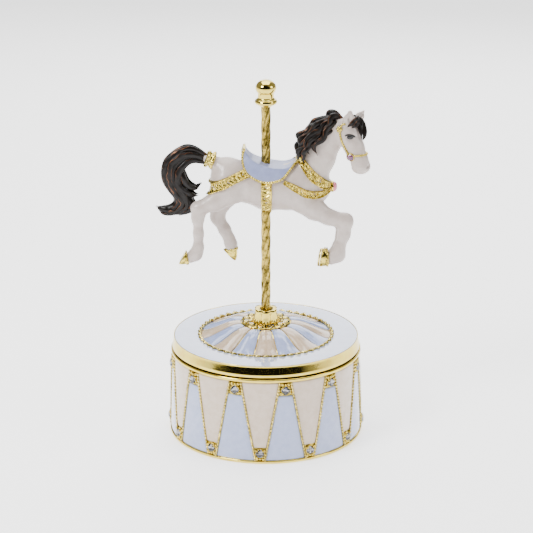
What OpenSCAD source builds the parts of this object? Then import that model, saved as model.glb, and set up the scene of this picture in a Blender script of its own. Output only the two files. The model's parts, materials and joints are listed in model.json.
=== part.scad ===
// Carousel horse music box: an enamelled drum with a wind-up musical movement inside,
// and a turning lid that carries a twisted pole and a carousel horse.
// Millimetres, +Z up. The origin is the centre of the drum's foot, on the surface it stands on.
// The horse faces +X, and the side it shows is -Y.

/* [Drum] */
// Outer radius at the foot
drum_r = 40; // [40:0.5:52]
// How much smaller the drum's radius is at the top
drum_draft = 0.8; // [0:0.1:2]
// Height of the drum's wall
drum_h = 36; // [35:0.5:46]
// Thickness of the wall behind the enamel
wall_t = 2.4; // [1.8:0.1:3]
// Height of the plain rim at the foot
foot_rim_h = 1.3; // [1:0.1:3]
// Height of the plain rim at the top
top_rim_h = 1.4; // [1:0.1:3]
// Depth of the field that takes the enamel
field_d = 0.8; // [0.6:0.05:1.2]
// Thickness of the enamel
enamel_t = 0.5; // [0.3:0.05:0.6]
// Height of the underside of the ledge that the base plate is pulled up against
ledge_z = 11; // [10:0.5:13]
// Width of that ledge
ledge_w = 1.5; // [1:0.1:2]

/* [Drum pattern] */
// Number of cream fields, and of blue ones
fields = 12; // [8:1:14]
// Turn of the pattern about the drum's axis
pattern_turn = -93.4; // [-180:0.1:180]
// Width of a cream field at its top
cream_top_w = 14.6; // [10:0.1:15]
// Width of a cream field at its foot
cream_foot_w = 4.5; // [3.8:0.1:6]
// Height of a cream field's foot
cream_foot_z = 6.8; // [6.8:0.1:10]
// Distance from a blue field's top to the top rim
blue_top_gap = 5.7; // [5:0.1:8]
// Thickness of the twisted wire between the fields
wire_d = 1.2; // [0.8:0.05:1.3]
// Radius of the stones on the drum
stone_r = 1.5; // [1.1:0.05:1.55]
// Wall of the cup that holds a stone
cup_t = 0.22; // [0.15:0.01:0.25]
// Height of the lower row of stones
low_stone_z = 4.5; // [4.3:0.1:4.8]
// Distance of the upper row of stones below the top rim
high_stone_gap = 3.3; // [2.6:0.1:4]

/* [Lid] */
// How far the lid's band stands inside the drum's top rim
lid_inset = 0.5; // [0:0.1:1.5]
// Height of the lid's band
lid_h = 5; // [4.5:0.1:8]
// Running gap between the drum and the lid
lid_gap = 0.4; // [0.2:0.05:0.8]
// Thickness of the lid's plate
lid_plate_t = 1.7; // [1.4:0.1:2.5]
// How deep the lid's skirt reaches into the drum
skirt_h = 1.6; // [1:0.1:3]
// Radius of the canopy on the lid
canopy_r = 26.8; // [22:0.1:30]
// Rise of the canopy
canopy_h = 4.9; // [3:0.1:8]
// Number of gores in the canopy, cream and blue together
gores = 16; // [12:2:24]
// Radius of the flat on top of the canopy
crown_r = 10.3; // [10.3:0.1:12]

/* [Stone ring and collar] */
// Number of stones round the collar
ring_stones = 12; // [8:1:13]
// Radius of the circle they stand on
ring_r = 8.1; // [7.9:0.1:8.4]
// Radius of one of those stones
ring_stone_r = 1.35; // [1:0.05:1.5]
// Height of the stone ring
ring_h = 1.2; // [1:0.1:2]
// Number of lobes of the collar
collar_lobes = 6; // [5:1:8]
// Radius of the collar at its foot
collar_r = 5.6; // [5:0.1:5.7]
// Height of the collar
collar_h = 6.2; // [4:0.1:9]

/* [Pole] */
// Radius of the pole
pole_r = 1.95; // [1.7:0.05:2.2]
// Height of the pole's top above the table
pole_top = 139.2; // [135:0.1:170]
// Radius of the tenon at the pole's foot
tenon_r = 1.5; // [1:0.05:1.6]
// Radius of the finial's ball
ball_r = 4.15; // [3:0.05:6]
// Height of the finial's ball
ball_h = 6.6; // [5:0.1:9]
// Radius of the ring under the ball
finial_ring_r = 4.5; // [3.5:0.1:6]

/* [Horse] */
// Height of the horse's girth centre above the table
horse_z = 103.7; // [100:0.1:112]
// Length of the horse from tail to nose
horse_len = 88; // [75:1:96]
// Thickness of the straps
strap_t = 0.9; // [0.6:0.05:1.2]

/* [Movement] */
// Height of the cylinder's axis above the bedplate's top
axis_up = 11; // [10.5:0.1:13]
// Radius of the pinned cylinder
cyl_r = 6.5; // [5.5:0.1:6.6]
// Number of teeth of the comb
notes = 18; // [12:1:18]
// Distance from one comb tooth to the next
note_pitch = 0.75; // [0.6:0.01:0.78]
// Thickness of the base plate and of the bedplate
plate_t = 1.6; // [1.2:0.1:2]
// Radius of the spring housing
barrel_r = 9.2; // [8:0.1:9.3]
// Height of the spring housing
barrel_h = 6.6; // [4:0.1:7]
// Radius of the winding arbor
arbor_r = 1.5; // [1.2:0.05:1.6]
// Radius of the threaded output spindle
spindle_r = 2; // [1.6:0.05:2.4]

/* [Winding key] */
// Span of the key's wings
key_span = 18; // [12:0.5:26]
// Height of the key's wings
key_h = 5; // [4:0.1:5.5]
// Thickness of the key's wings
key_t = 1.2; // [0.8:0.1:2]

/* [Hidden] */
$fn = 64;

fit = 0.02;          // gap between pieces that are glued, pressed or screwed together
run = 0.05;          // radial clearance of a shaft that turns
wall_gap = 0.3;      // gap between the movement and the drum's wall
nip = 0.08;          // gap along the edge of an enamel field

// Driven sizes of the drum
field_pitch = 360 / fields;
inner_r = drum_r - drum_draft - field_d - wall_t;
recess_r = inner_r + ledge_w;
field_z0 = foot_rim_h;
field_z1 = drum_h - top_rim_h;
high_stone_z = field_z1 - high_stone_gap;
blue_top_z = field_z1 - blue_top_gap;
mid_r = drum_r - drum_draft / 2 - field_d;
half_pitch_w = PI * mid_r / fields;
wire_lift = 0.16;    // keeps the middle of a straight wire clear of the round wall
cup_r = stone_r + fit + cup_t;
lug_r = 3;
lug_at = inner_r - 2.6;
lug_h = 8;
lug_angles = [60, 180, 300];
screw_r = 0.95;

function out_r(z) = drum_r - drum_draft * z / drum_h;
function floor_r(z) = out_r(z) - field_d;
function cream_half(z) =
    cream_foot_w / 2 + (cream_top_w - cream_foot_w) / 2 * (z - cream_foot_z) / (field_z1 - cream_foot_z);
function blue_half(z) = half_pitch_w - cream_half(z) - wire_d;
function wire_point(z, side) = let (a = side * (cream_half(z) + wire_d / 2) / mid_r * 180 / PI,
                                    r = floor_r(z) + wire_d / 2 + wire_lift)
    [r * cos(a), r * sin(a), z];

// Driven sizes of the lid
lid_r = drum_r - drum_draft - lid_inset;
lid_z0 = drum_h + lid_gap;
lid_z1 = lid_z0 + lid_h;
lid_floor = lid_z1 - enamel_t;
skirt_r = inner_r - 0.5;
skirt_t = 1.2;
boss_r = 4.5;
crown_z = lid_z1 + canopy_h;
gore_t = 0.6;
lip_w = 0.9;
function canopy_z(r) = lid_floor + (crown_z - lid_floor) * (1 + cos(180 * (r - crown_r) / (canopy_r - crown_r))) / 2;
canopy_rs = [for (i = [0:10]) crown_r + (canopy_r - crown_r) * i / 10];

// Driven sizes of the pole and its fittings
collar_top = crown_z + fit + collar_h;
ball_z = pole_top + 2.1 + 0.9;

// Driven sizes of the movement
base_z = ledge_z - plate_t;
bed_z = ledge_z + plate_t;
axis_z = bed_z + axis_up;
crown_m = 0.5;
crown_teeth = 28;
pinion_teeth = 14;
crown_pitch_r = crown_m * crown_teeth / 2;
pinion_pitch_r = crown_m * pinion_teeth / 2;
train_m = 0.35;
gear_teeth = 36;
second_teeth = 12;
wheel_teeth = 30;
screw_starts = 2;
second_y = train_m * (gear_teeth + second_teeth) / 2;
wheel_r = train_m * wheel_teeth / 2;
worm_r = 1.6;
worm_y = second_y + wheel_r + worm_r;
worm_lead = screw_starts * PI * train_m;
cyl_x0 = barrel_r + 2.3;
cyl_len = notes * note_pitch;
cyl_x1 = cyl_x0 + cyl_len;
gear_x = cyl_x1 + 0.2;
gear_w = 1;
wheel_x = gear_x + gear_w + 0.8;
wheel_w = 0.8;
end_post_x = wheel_x + wheel_w + 0.8;
post_w = 1;
pin_r = 0.16;
pin_up = 0.6;
comb_t = 0.8;
comb_gap = 0.12;
comb_tip_y = -(cyl_r + pin_up + comb_gap);
comb_root_y = comb_tip_y - 8.2;
comb_back_y = comb_root_y - 6;
wheel_bottom = axis_z + pinion_pitch_r - 0.4;
disc_z = axis_z + pinion_pitch_r + 0.55;
disc_t = 1.5;
spindle_z1 = lid_z0 + 0.3;
boss_z0 = disc_z + disc_t + 1;

// Gear outline: involute flanks of three points, with backlash b, addendum and dedendum in modules
function spread(r, rb) = r <= rb ? 0 : let (a = acos(rb / r)) tan(a) * 180 / PI - a;
function tooth_half(r, n, m, b) =
    (90 - b / m * 180 / PI) / n + spread(n * m / 2, n * m / 2 * cos(20)) - spread(r, n * m / 2 * cos(20));
function gear_outline(n, m, b, add, ded, turn) =
    let (r = n * m / 2, rs = [r - ded * m, r, r + add * m])
    [for (i = [0:n - 1], k = [0:5])
        let (j = k < 3 ? k : 5 - k, s = k < 3 ? -1 : 1, a = turn + 360 * i / n + s * tooth_half(rs[j], n, m, b))
        [rs[j] * cos(a), rs[j] * sin(a)]];
function ellipse(a, b, n = 48) = [for (i = [0:n - 1]) [a * cos(360 * i / n), b * sin(360 * i / n)]];

module along_x() { rotate([90, 0, 90]) children(); }
module pipe(r1, r0, h) {
    difference() {
        cylinder(r = r1, h = h);
        translate([0, 0, -1]) cylinder(r = r0, h = h + 2);
    }
}
module rod(a, b, r) {
    d = b - a;
    l = norm(d);
    translate(a) rotate([0, acos(d[2] / l), atan2(d[1], d[0])]) cylinder(r = r, h = l);
}
module blob(s) { translate([s[0], s[1], s[2]]) scale([s[3], s[4], s[5]]) sphere(1, $fn = 18); }
module chain(list) {
    for (i = [0:len(list) - 2]) hull() {
        blob(list[i]);
        blob(list[i + 1]);
    }
}

// ---------------------------------------------------------------- drum
module drum_shell() {
    color("gold") difference() {
        union() {
            rotate_extrude() polygon([
                [recess_r, 0], [drum_r - 0.3, 0], [drum_r, 0.3], [out_r(field_z0), field_z0],
                [floor_r(field_z0), field_z0], [floor_r(field_z1), field_z1], [out_r(field_z1), field_z1],
                [out_r(drum_h), drum_h - 0.3], [out_r(drum_h) - 0.3, drum_h], [inner_r, drum_h],
                [inner_r, ledge_z], [recess_r, ledge_z]
            ]);
            for (a = lug_angles) rotate([0, 0, a]) translate([lug_at, 0, ledge_z + 0.5]) cylinder(r = lug_r, h = lug_h - 0.5);
        }
        for (a = lug_angles) rotate([0, 0, a]) translate([lug_at, 0, ledge_z - 1]) cylinder(r = screw_r + fit, h = lug_h);
    }
}
// A curved tile of the field, between two heights, cut to a tapering outline
module tile(z0, z1, w0, w1, t0, t1) {
    half = 360 / fields * 0.6;
    intersection() {
        rotate([0, 0, -half]) rotate_extrude(angle = 2 * half) polygon([
            [floor_r(z0) + t0, z0], [floor_r(z0) + t1, z0], [floor_r(z1) + t1, z1], [floor_r(z1) + t0, z1]
        ]);
        along_x() linear_extrude(height = drum_r + 5) polygon([[-w0, z0], [w0, z0], [w1, z1], [-w1, z1]]);
    }
}
module around(offset) {
    for (i = [0:fields - 1]) rotate([0, 0, pattern_turn + field_pitch * (i + offset)]) children();
}
module cream_panels() {
    color("antiquewhite") around(0) tile(cream_foot_z, field_z1 - nip,
        cream_half(cream_foot_z) - nip, cream_half(field_z1) - nip, fit, enamel_t);
}
module blue_panels() {
    color("lightsteelblue") around(0.5) tile(field_z0 + nip, blue_top_z,
        blue_half(field_z0) - nip, blue_half(blue_top_z) - nip, fit, enamel_t);
}
module twisted_wires() {
    color("gold") around(0) for (side = [-1, 1])
        rod(wire_point(field_z0 + 0.2, side), wire_point(field_z1 - 0.2, side), wire_d / 2);
}
module cup(z) {
    translate([floor_r(z) + 0.06, 0, z]) rotate([0, 90, 0]) difference() {
        cylinder(r = cup_r, h = 1.1);
        translate([0, 0, 0.5]) cylinder(r = stone_r + fit, h = 2);
    }
}
module stone(r) {
    cylinder(r1 = r * 0.6, r2 = r, h = r * 0.27);
    translate([0, 0, r * 0.27]) cylinder(r = r, h = r * 0.13);
    translate([0, 0, r * 0.4]) cylinder(r1 = r, r2 = r * 0.55, h = r * 0.33);
}
module upper_stone_cups() { color("gold") around(0.5) cup(high_stone_z); }
module lower_stone_cups() { color("gold") around(0) cup(low_stone_z); }
module wall_stone(z) { translate([floor_r(z) + 0.56 + fit, 0, z]) rotate([0, 90, 0]) stone(stone_r); }
module upper_stones() { color("white") around(0.5) wall_stone(high_stone_z); }
module lower_stones() { color("white") around(0) wall_stone(low_stone_z); }

// ---------------------------------------------------------------- base plate and its screws
movement_screw_at = [[-8.5, -12], [-8.5, 12], [20, 12]];
module base_plate() {
    color("gold") translate([0, 0, base_z]) difference() {
        cylinder(r = recess_r - 0.3, h = plate_t - fit);
        translate([0, 0, -1]) cylinder(r = 4, h = plate_t + 2);
        for (a = lug_angles) rotate([0, 0, a]) translate([lug_at, 0, -1]) cylinder(r = screw_r + 0.2, h = plate_t + 2);
        for (p = movement_screw_at) translate([p[0], p[1], -1]) cylinder(r = screw_r + 0.2, h = plate_t + 2);
    }
}
module pan_screw(l) {
    difference() {
        translate([0, 0, -1.2]) cylinder(r = 1.9, h = 1.2);
        translate([-2, -0.2, -1.3]) cube([4, 0.4, 0.6]);
    }
    cylinder(r = screw_r, h = l);
}
module base_screws() {
    color("silver") for (a = lug_angles) rotate([0, 0, a]) translate([lug_at, 0, base_z - fit]) pan_screw(plate_t + 5);
}
module movement_screws() {
    color("silver") for (p = movement_screw_at) translate([p[0], p[1], base_z - fit]) pan_screw(2 * plate_t - 0.3);
}

// ---------------------------------------------------------------- movement: what stands still
bed_x0 = -12;
bed_x1 = end_post_x + post_w + 0.6;
bed_y0 = comb_back_y - 0.6;
cock_y = worm_y + 4.5;
cock_w = 1.8;
module post(x, w, y0, y1, z1) { translate([x, y0, bed_z - 0.5]) cube([w, y1 - y0, z1 - bed_z + 0.5]); }
module bedplate() {
    color("silver") difference() {
        union() {
            intersection() {
                translate([bed_x0, bed_y0, ledge_z]) cube([bed_x1 - bed_x0, cock_y + cock_w - bed_y0, plate_t]);
                translate([0, 0, ledge_z - 1]) cylinder(r = inner_r - 0.8, h = plate_t + 2);
            }
            post(barrel_r + 0.6, post_w, -2, 2, axis_z + 2);
            post(end_post_x, post_w, -2, second_y + 1.6, axis_z + 2);
            post(gear_x - 1.3, 0.8, cyl_r + pin_up + 0.2, second_y + 1.6, axis_z + 1.6);
        }
        translate([0, 0, ledge_z - 1]) cylinder(r = arbor_r + run, h = plate_t + 2);
        translate([-1, 0, axis_z]) rotate([0, 90, 0]) cylinder(r = 1 + run, h = bed_x1 + 2);
        translate([cyl_x0, second_y, axis_z]) rotate([0, 90, 0]) cylinder(r = 0.6 + run, h = bed_x1);
        translate([wheel_x + wheel_w / 2, worm_y, ledge_z - 1]) cylinder(r = 0.5 + run, h = plate_t + 2);
        for (p = movement_screw_at) translate([p[0], p[1], ledge_z - 1]) cylinder(r = screw_r + fit, h = plate_t + 0.8);
        translate([wheel_x + wheel_w / 2 - 5, cock_y + cock_w / 2, ledge_z - 1]) cylinder(r = 0.5 + fit, h = plate_t + 2);
        for (x = comb_screw_x) translate([x, comb_screw_y, ledge_z + 0.6]) cylinder(r = 0.8 + fit, h = plate_t);
    }
}
module spring_housing() {
    color("silver") translate([0, 0, bed_z + fit]) difference() {
        cylinder(r = barrel_r, h = barrel_h);
        translate([0, 0, 0.6]) cylinder(r = barrel_r - 0.6, h = barrel_h - 1.2);
        translate([0, 0, -1]) cylinder(r = arbor_r + run, h = barrel_h + 2);
    }
}
// Strip wound in a spiral: out along one side, back along the other
spring_turns = 7;
spring_r0 = arbor_r + 0.7;
spring_r1 = barrel_r - 1;
spring_t = 0.25;
function spiral(i, side) = let (a = 360 * i / 18, r = spring_r0 + (spring_r1 - spring_r0) * i / (18 * spring_turns) + side)
    [r * cos(a), r * sin(a)];
module mainspring() {
    n = 18 * spring_turns;
    color("slategray") translate([0, 0, bed_z + 1]) linear_extrude(height = barrel_h - 2)
        polygon(concat([for (i = [0:n]) spiral(i, spring_t / 2)], [for (i = [n:-1:0]) spiral(i, -spring_t / 2)]));
}
comb_x0 = cyl_x0;
comb_screw_x = [comb_x0 + 2.5, comb_x0 + cyl_len - 2.5];
comb_screw_y = (comb_root_y + comb_back_y) / 2;
module comb_block() {
    color("silver") difference() {
        translate([comb_x0 - 0.3, comb_back_y, bed_z + fit])
            cube([cyl_len + 0.6, comb_root_y - comb_back_y, axis_up - comb_t / 2 - 2 * fit]);
        for (x = comb_screw_x) translate([x, comb_screw_y, ledge_z]) cylinder(r = 0.8 + fit, h = axis_up + plate_t);
    }
}
// Comb outline: a plate with one slot between each two teeth, the slots deeper towards the bass
module comb() {
    color("lightgray") translate([comb_x0, 0, axis_z - comb_t / 2]) linear_extrude(height = comb_t) difference() {
        translate([0, comb_back_y]) square([cyl_len, comb_tip_y - comb_back_y]);
        for (i = [1:notes - 1]) {
            slot_l = 4.6 + 3.2 * i / notes;
            translate([i * note_pitch - 0.12, comb_tip_y - slot_l]) square([0.24, slot_l + 1]);
        }
        for (x = comb_screw_x) translate([x - comb_x0, comb_screw_y]) circle(0.8 + fit);
    }
}
module comb_screws() {
    color("silver") for (x = comb_screw_x) translate([x, comb_screw_y, axis_z + comb_t / 2 + fit]) {
        difference() {
            cylinder(r = 1.6, h = 1.1);
            translate([-2, -0.2, 0.6]) cube([4, 0.4, 1]);
        }
        translate([0, 0, -axis_up]) cylinder(r = 0.8, h = axis_up);
    }
}
cock_x = wheel_x + wheel_w / 2;
cock_z0 = axis_z + 4.3;
module governor_cock() {
    color("silver") difference() {
        intersection() {
            union() {
                translate([cock_x - 1.2, cock_y, bed_z + fit]) cube([2.2, cock_w, cock_z0 + 1.2 - bed_z - fit]);
                translate([cock_x - 1.2, worm_y - 1.2, cock_z0]) cube([2.2, cock_y + cock_w - worm_y + 1.2, 1.2]);
                translate([cock_x - 6.2, cock_y, bed_z + fit]) cube([6, cock_w, 1.2]);
            }
            cylinder(r = inner_r - wall_gap, h = drum_h);
        }
        translate([cock_x, worm_y, cock_z0 - 1]) cylinder(r = 0.5 + run, h = 4);
        translate([cock_x - 5, cock_y + cock_w / 2, bed_z - 1]) cylinder(r = 0.5 + fit, h = 4);
    }
}
module cock_screw() {
    color("silver") translate([cock_x - 5, cock_y + cock_w / 2, bed_z + 1.2 + 2 * fit]) {
        cylinder(r = 0.9, h = 0.8);
        translate([0, 0, -2.4]) cylinder(r = 0.5, h = 2.4);
    }
}

// ---------------------------------------------------------------- movement: the cylinder
module pinned_cylinder() {
    color("goldenrod") translate([cyl_x0, 0, axis_z]) along_x() {
        difference() {
            cylinder(r = cyl_r, h = cyl_len);
            translate([0, 0, 0.8]) cylinder(r = cyl_r - 0.5, h = cyl_len - 1.6);
            translate([0, 0, -1]) cylinder(r = 1 + fit, h = cyl_len + 2);
        }
    }
}
// Each track has a few pins, spaced by a fixed rule so that no two tracks are alike
module cylinder_pins() {
    color("goldenrod") for (i = [0:notes - 1], k = [0:3])
        translate([cyl_x0 + (i + 0.5) * note_pitch, 0, axis_z])
            rotate([i * 47 + k * 83 + (i * k % 5) * 9 + 20, 0, 0])
                translate([0, 0, cyl_r + fit]) cylinder(r = pin_r, h = pin_up - fit, $fn = 16);
}
module cylinder_arbor() {
    color("silver") translate([crown_pitch_r - 1.2, 0, axis_z]) along_x()
        cylinder(r = 1, h = end_post_x + post_w + 0.2 - crown_pitch_r + 1.2);
}
module cylinder_pinion() {
    color("goldenrod") translate([crown_pitch_r - 1, 0, axis_z]) along_x() difference() {
        linear_extrude(height = 2) polygon(gear_outline(pinion_teeth, crown_m, 0.24, 0.8, 1.2, 90));
        translate([0, 0, -1]) cylinder(r = 1 + fit, h = 4);
    }
}
module cylinder_gear() {
    color("goldenrod") translate([gear_x, 0, axis_z]) along_x() difference() {
        linear_extrude(height = gear_w) polygon(gear_outline(gear_teeth, train_m, 0.1, 0.8, 1.2, 0));
        translate([0, 0, -1]) cylinder(r = 1 + fit, h = 4);
    }
}

// ---------------------------------------------------------------- movement: second arbor and governor
module second_arbor() {
    color("silver") translate([gear_x - 1.4, second_y, axis_z]) along_x()
        cylinder(r = 0.6, h = end_post_x + post_w - gear_x + 1.5);
    color("goldenrod") translate([gear_x, second_y, axis_z]) along_x()
        linear_extrude(height = gear_w) polygon(gear_outline(second_teeth, train_m, 0.1, 0.8, 1.2, 180 / second_teeth));
}
module worm_wheel() {
    color("goldenrod") translate([wheel_x, second_y, axis_z]) along_x() difference() {
        linear_extrude(height = wheel_w) polygon(gear_outline(wheel_teeth, train_m, 0.22, 0.7, 1.1, 0));
        translate([0, 0, -1]) cylinder(r = 0.6 + fit, h = 4);
    }
}
// The screw is its cross-section, twisted: two threads whose flanks lean from root to tip
thread_l = 6.2;
screw_profile = [for (s = [0:screw_starts - 1], k = [[1.2, -0.31], [worm_r, -0.2], [1.88, -0.11], [1.92, 0],
                                                      [1.88, 0.11], [worm_r, 0.2], [1.2, 0.31], [1.2, 0.45]])
    let (a = 360 * s / screw_starts + 360 * k[1] / worm_lead) [k[0] * cos(a), k[0] * sin(a)]];
module endless_screw() {
    $fn = 16;
    z0 = axis_z - thread_l / 2;
    color("silver") translate([cock_x, worm_y, 0]) {
        translate([0, 0, z0]) rotate([0, 0, -360 * (axis_z - z0) / worm_lead])
            linear_extrude(height = thread_l, twist = -360 * thread_l / worm_lead, slices = 64) polygon(screw_profile);
        translate([0, 0, z0 + thread_l - 0.1]) cylinder(r = 0.5, h = cock_z0 + 1 - z0 - thread_l + 0.1);
        translate([0, 0, ledge_z + 0.4]) cylinder(r = 0.5, h = z0 - ledge_z - 0.3);
    }
}
brake_z0 = bed_z + 1.2;
module air_brake() {
    color("silver") translate([cock_x, worm_y, brake_z0]) difference() {
        union() {
            cylinder(r = 1.1, h = 3);
            translate([-4, -0.2, 0]) cube([8, 0.4, 3]);
        }
        translate([0, 0, -1]) cylinder(r = 0.5 + fit, h = 6);
    }
}

// ---------------------------------------------------------------- winding
arbor_z0 = base_z - 6;
module winding_arbor() {
    color("silver") {
        translate([0, 0, arbor_z0]) cylinder(r = arbor_r, h = disc_z - 0.4 - arbor_z0);
    }
}
module winding_key() {
    z0 = base_z - 2.2 - key_h;
    color("gold") difference() {
        union() {
            translate([0, 0, z0]) cylinder(r = arbor_r + 1.1, h = key_h + 1);
            intersection() {
                translate([-key_span / 2, -key_t / 2, z0]) cube([key_span, key_t, key_h]);
                translate([0, key_t, z0 + key_h / 2]) rotate([90, 0, 0]) union() for (s = [-1, 1])
                    translate([s * (key_span / 2 - key_h / 2), 0, 0]) {
                        cylinder(r = key_h / 2, h = 2 * key_t);
                        translate([-s * (key_span - key_h) / 4, 0, key_t]) cube([(key_span - key_h) / 2, key_h * 0.8, 2 * key_t], center = true);
                    }
            }
        }
        translate([0, 0, arbor_z0 - 0.1]) cylinder(r = arbor_r + fit, h = 20);
        for (s = [-1, 1]) translate([s * (key_span / 2 - key_h / 2), key_t, z0 + key_h / 2])
            rotate([90, 0, 0]) cylinder(r = key_h * 0.22, h = 2 * key_t);
    }
}
hub_z0 = bed_z + barrel_h + 0.5;
module clutch_spring() {
    color("slategray") translate([0, 0, hub_z0 + 0.3]) pipe(arbor_r + 0.9, arbor_r + fit, disc_z - 1.4 - hub_z0);
}

// ---------------------------------------------------------------- what turns with the lid
module drive_wheel() {
    color("goldenrod") difference() {
        union() {
            translate([0, 0, disc_z]) cylinder(r = crown_pitch_r + 1.3, h = disc_t);
            translate([0, 0, hub_z0]) cylinder(r = arbor_r + 2, h = disc_z - hub_z0 + 0.1);
            translate([0, 0, wheel_bottom]) linear_extrude(height = disc_z - wheel_bottom + 0.1) difference() {
                circle(crown_pitch_r + 1);
                circle(crown_pitch_r - 1);
                for (i = [0:crown_teeth - 1]) rotate(360 * i / crown_teeth)
                    translate([0, -0.51]) square([crown_pitch_r + 2, 1.02]);
            }
        }
        translate([0, 0, hub_z0 - 1]) cylinder(r = arbor_r + run, h = disc_z - hub_z0 + 0.8);
        translate([0, 0, hub_z0 - 1]) cylinder(r = arbor_r + 1, h = disc_z - hub_z0 + 0.2);
        translate([0, 0, disc_z + 0.3]) cylinder(r = spindle_r + fit, h = 4);
    }
}
module output_spindle() {
    color("silver") translate([0, 0, disc_z + 0.3 + fit]) cylinder(r = spindle_r, h = spindle_z1 - disc_z - 0.3 - fit);
}
module lid_shell() {
    under = lid_floor - lid_plate_t;
    color("gold") difference() {
        rotate_extrude() polygon(concat(
            [[0, boss_z0], [boss_r, boss_z0], [boss_r, crown_z - lid_plate_t], [crown_r, crown_z - lid_plate_t],
             [canopy_r - 3, under], [skirt_r - skirt_t, under],
             [skirt_r - skirt_t, drum_h - skirt_h], [skirt_r, drum_h - skirt_h], [skirt_r, lid_z0],
             [lid_r - 0.3, lid_z0], [lid_r, lid_z0 + 0.3], [lid_r, lid_z1 - 0.6], [lid_r - 0.15, lid_z1 - 0.2],
             [lid_r - 0.5, lid_z1], [lid_r - lip_w, lid_z1], [lid_r - lip_w, lid_floor]],
            [for (i = [10:-1:0]) [canopy_rs[i], canopy_z(canopy_rs[i])]],
            [[0, crown_z]]
        ));
        translate([0, 0, boss_z0 - 1]) cylinder(r = spindle_r + fit, h = spindle_z1 + 0.3 - boss_z0 + 1);
        translate([0, 0, lid_floor - 2.5]) cylinder(r = tenon_r + fit, h = 20);
    }
}
module lid_enamel() {
    color("lightsteelblue") translate([0, 0, lid_floor + fit]) pipe(lid_r - lip_w - fit, canopy_r + wire_d + 0.2, enamel_t - 0.05);
}
module gore() {
    rs = [for (i = [0:8]) crown_r + 0.1 + (canopy_r - crown_r - 0.3) * i / 8];
    rotate([0, 0, -180 / gores + 0.15]) rotate_extrude(angle = 360 / gores - 0.3)
        polygon(concat([for (r = rs) [r, canopy_z(r) + 0.05]], [for (i = [8:-1:0]) [rs[i], canopy_z(rs[i]) + gore_t]]));
}
module canopy_cream_gores() { color("antiquewhite") for (i = [0:2:gores - 1]) rotate([0, 0, -90 + 360 / gores * i]) gore(); }
module canopy_blue_gores() { color("lightsteelblue") for (i = [1:2:gores - 1]) rotate([0, 0, -90 + 360 / gores * i]) gore(); }
module canopy_wire() {
    color("gold") translate([0, 0, lid_floor + wire_d / 2 + fit]) rotate_extrude()
        translate([canopy_r + wire_d / 2 + 0.1, 0]) circle(wire_d / 2, $fn = 32);
}
module stone_ring() {
    color("gold") translate([0, 0, crown_z + fit]) difference() {
        union() {
            pipe(ring_r + 1.2, collar_r + 0.2, ring_h * 0.7);
            for (i = [0:ring_stones - 1]) rotate([0, 0, 360 / ring_stones * (i + 0.5) - 90]) translate([ring_r, 0, 0])
                cylinder(r = ring_stone_r + 0.55, h = ring_h);
        }
        translate([0, 0, -1]) cylinder(r = collar_r + 0.2, h = 4);
        for (i = [0:ring_stones - 1]) rotate([0, 0, 360 / ring_stones * (i + 0.5) - 90]) translate([ring_r, 0, ring_h - 0.6])
            cylinder(r = ring_stone_r + fit, h = 2);
    }
}
module ring_stones() {
    color("white") for (i = [0:ring_stones - 1]) rotate([0, 0, 360 / ring_stones * (i + 0.5) - 90])
        translate([ring_r, 0, crown_z + ring_h - 0.6 + 2 * fit]) stone(ring_stone_r);
}
module pole_collar() {
    at = collar_r - 2.2;
    color("gold") translate([0, 0, crown_z + fit]) difference() {
        linear_extrude(height = collar_h, scale = 0.84) union() {
            circle(at + 1.2, $fn = 36);
            for (i = [0:collar_lobes - 1]) rotate(360 / collar_lobes * (i + 0.5) - 90) translate([at, 0]) circle(2.2, $fn = 36);
        }
        translate([0, 0, -1]) cylinder(r = pole_r + fit, h = collar_h + 2);
    }
}
module pole() {
    color("gold") {
        translate([0, 0, crown_z + fit]) cylinder(r = pole_r, h = pole_top - crown_z - fit);
        translate([0, 0, lid_floor - 2.4]) cylinder(r = tenon_r, h = crown_z - lid_floor + 3);
    }
}
module finial() {
    color("gold") difference() {
        rotate_extrude() polygon(concat(
            [[0, pole_top - 1.2], [2.6, pole_top - 1.2], [finial_ring_r - 0.5, pole_top], [finial_ring_r, pole_top + 0.6],
             [finial_ring_r, pole_top + 1.2], [finial_ring_r - 0.6, pole_top + 1.8], [3, pole_top + 2.1],
             [2.8, pole_top + 2.9]],
            [for (a = [-40:10:90]) [ball_r * cos(a), ball_z + ball_h / 2 + ball_h / 2 * sin(a) * 1.02]]
        ));
        translate([0, 0, pole_top - 2]) cylinder(r = pole_r + fit, h = 2 + fit);
    }
}

// ---------------------------------------------------------------- the horse
// Stations are [x, y, z, rx, ry, rz] from the centre of the girth, at the horse's own scale
horse_k = horse_len / 88;
trunk = [[-14.6, 0, 4, 7.9, 6.7, 8.9], [-6, 0, 2.2, 7, 6.5, 8], [0.5, 0, 0.6, 8, 7.2, 9.3],
         [9, 0, 0.6, 8, 7.1, 9.1], [15, 0, 0.6, 8.6, 6.8, 9.2], [20, 0, 0.8, 6.3, 5.4, 7]];
neck = [[15, 0, 4, 8, 5.6, 7.5], [21, 0, 13, 6.4, 4.2, 6.4], [25.4, -0.5, 21.4, 5.2, 3.5, 5.4],
        [29.6, -1.4, 26, 4.1, 3.1, 3.8]];
head = [[32.8, -2.6, 23.6, 4.6, 3.3, 4.6], [35.6, -3.9, 17.8, 3.7, 2.8, 4.2], [37.3, -4.8, 13.6, 3.3, 2.6, 3.4],
        [38, -5.3, 10.9, 3.9, 2.9, 3.3]];
dock = [[-17.2, 0, 9, 3, 3, 3.2], [-22.2, 0, 12, 1.6, 1.6, 1.6], [-25.4, 0, 12.9, 1.4, 1.4, 1.4]];
ears = [[[31.8, -3.4, 27.8, 2.2, 1.3, 2], [32.9, -4.2, 32.4, 0.7, 0.6, 0.7]],
        [[35.2, 0.4, 27.2, 2, 1.4, 1.8], [38.8, 2, 31, 0.6, 0.5, 0.6]]];
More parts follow.
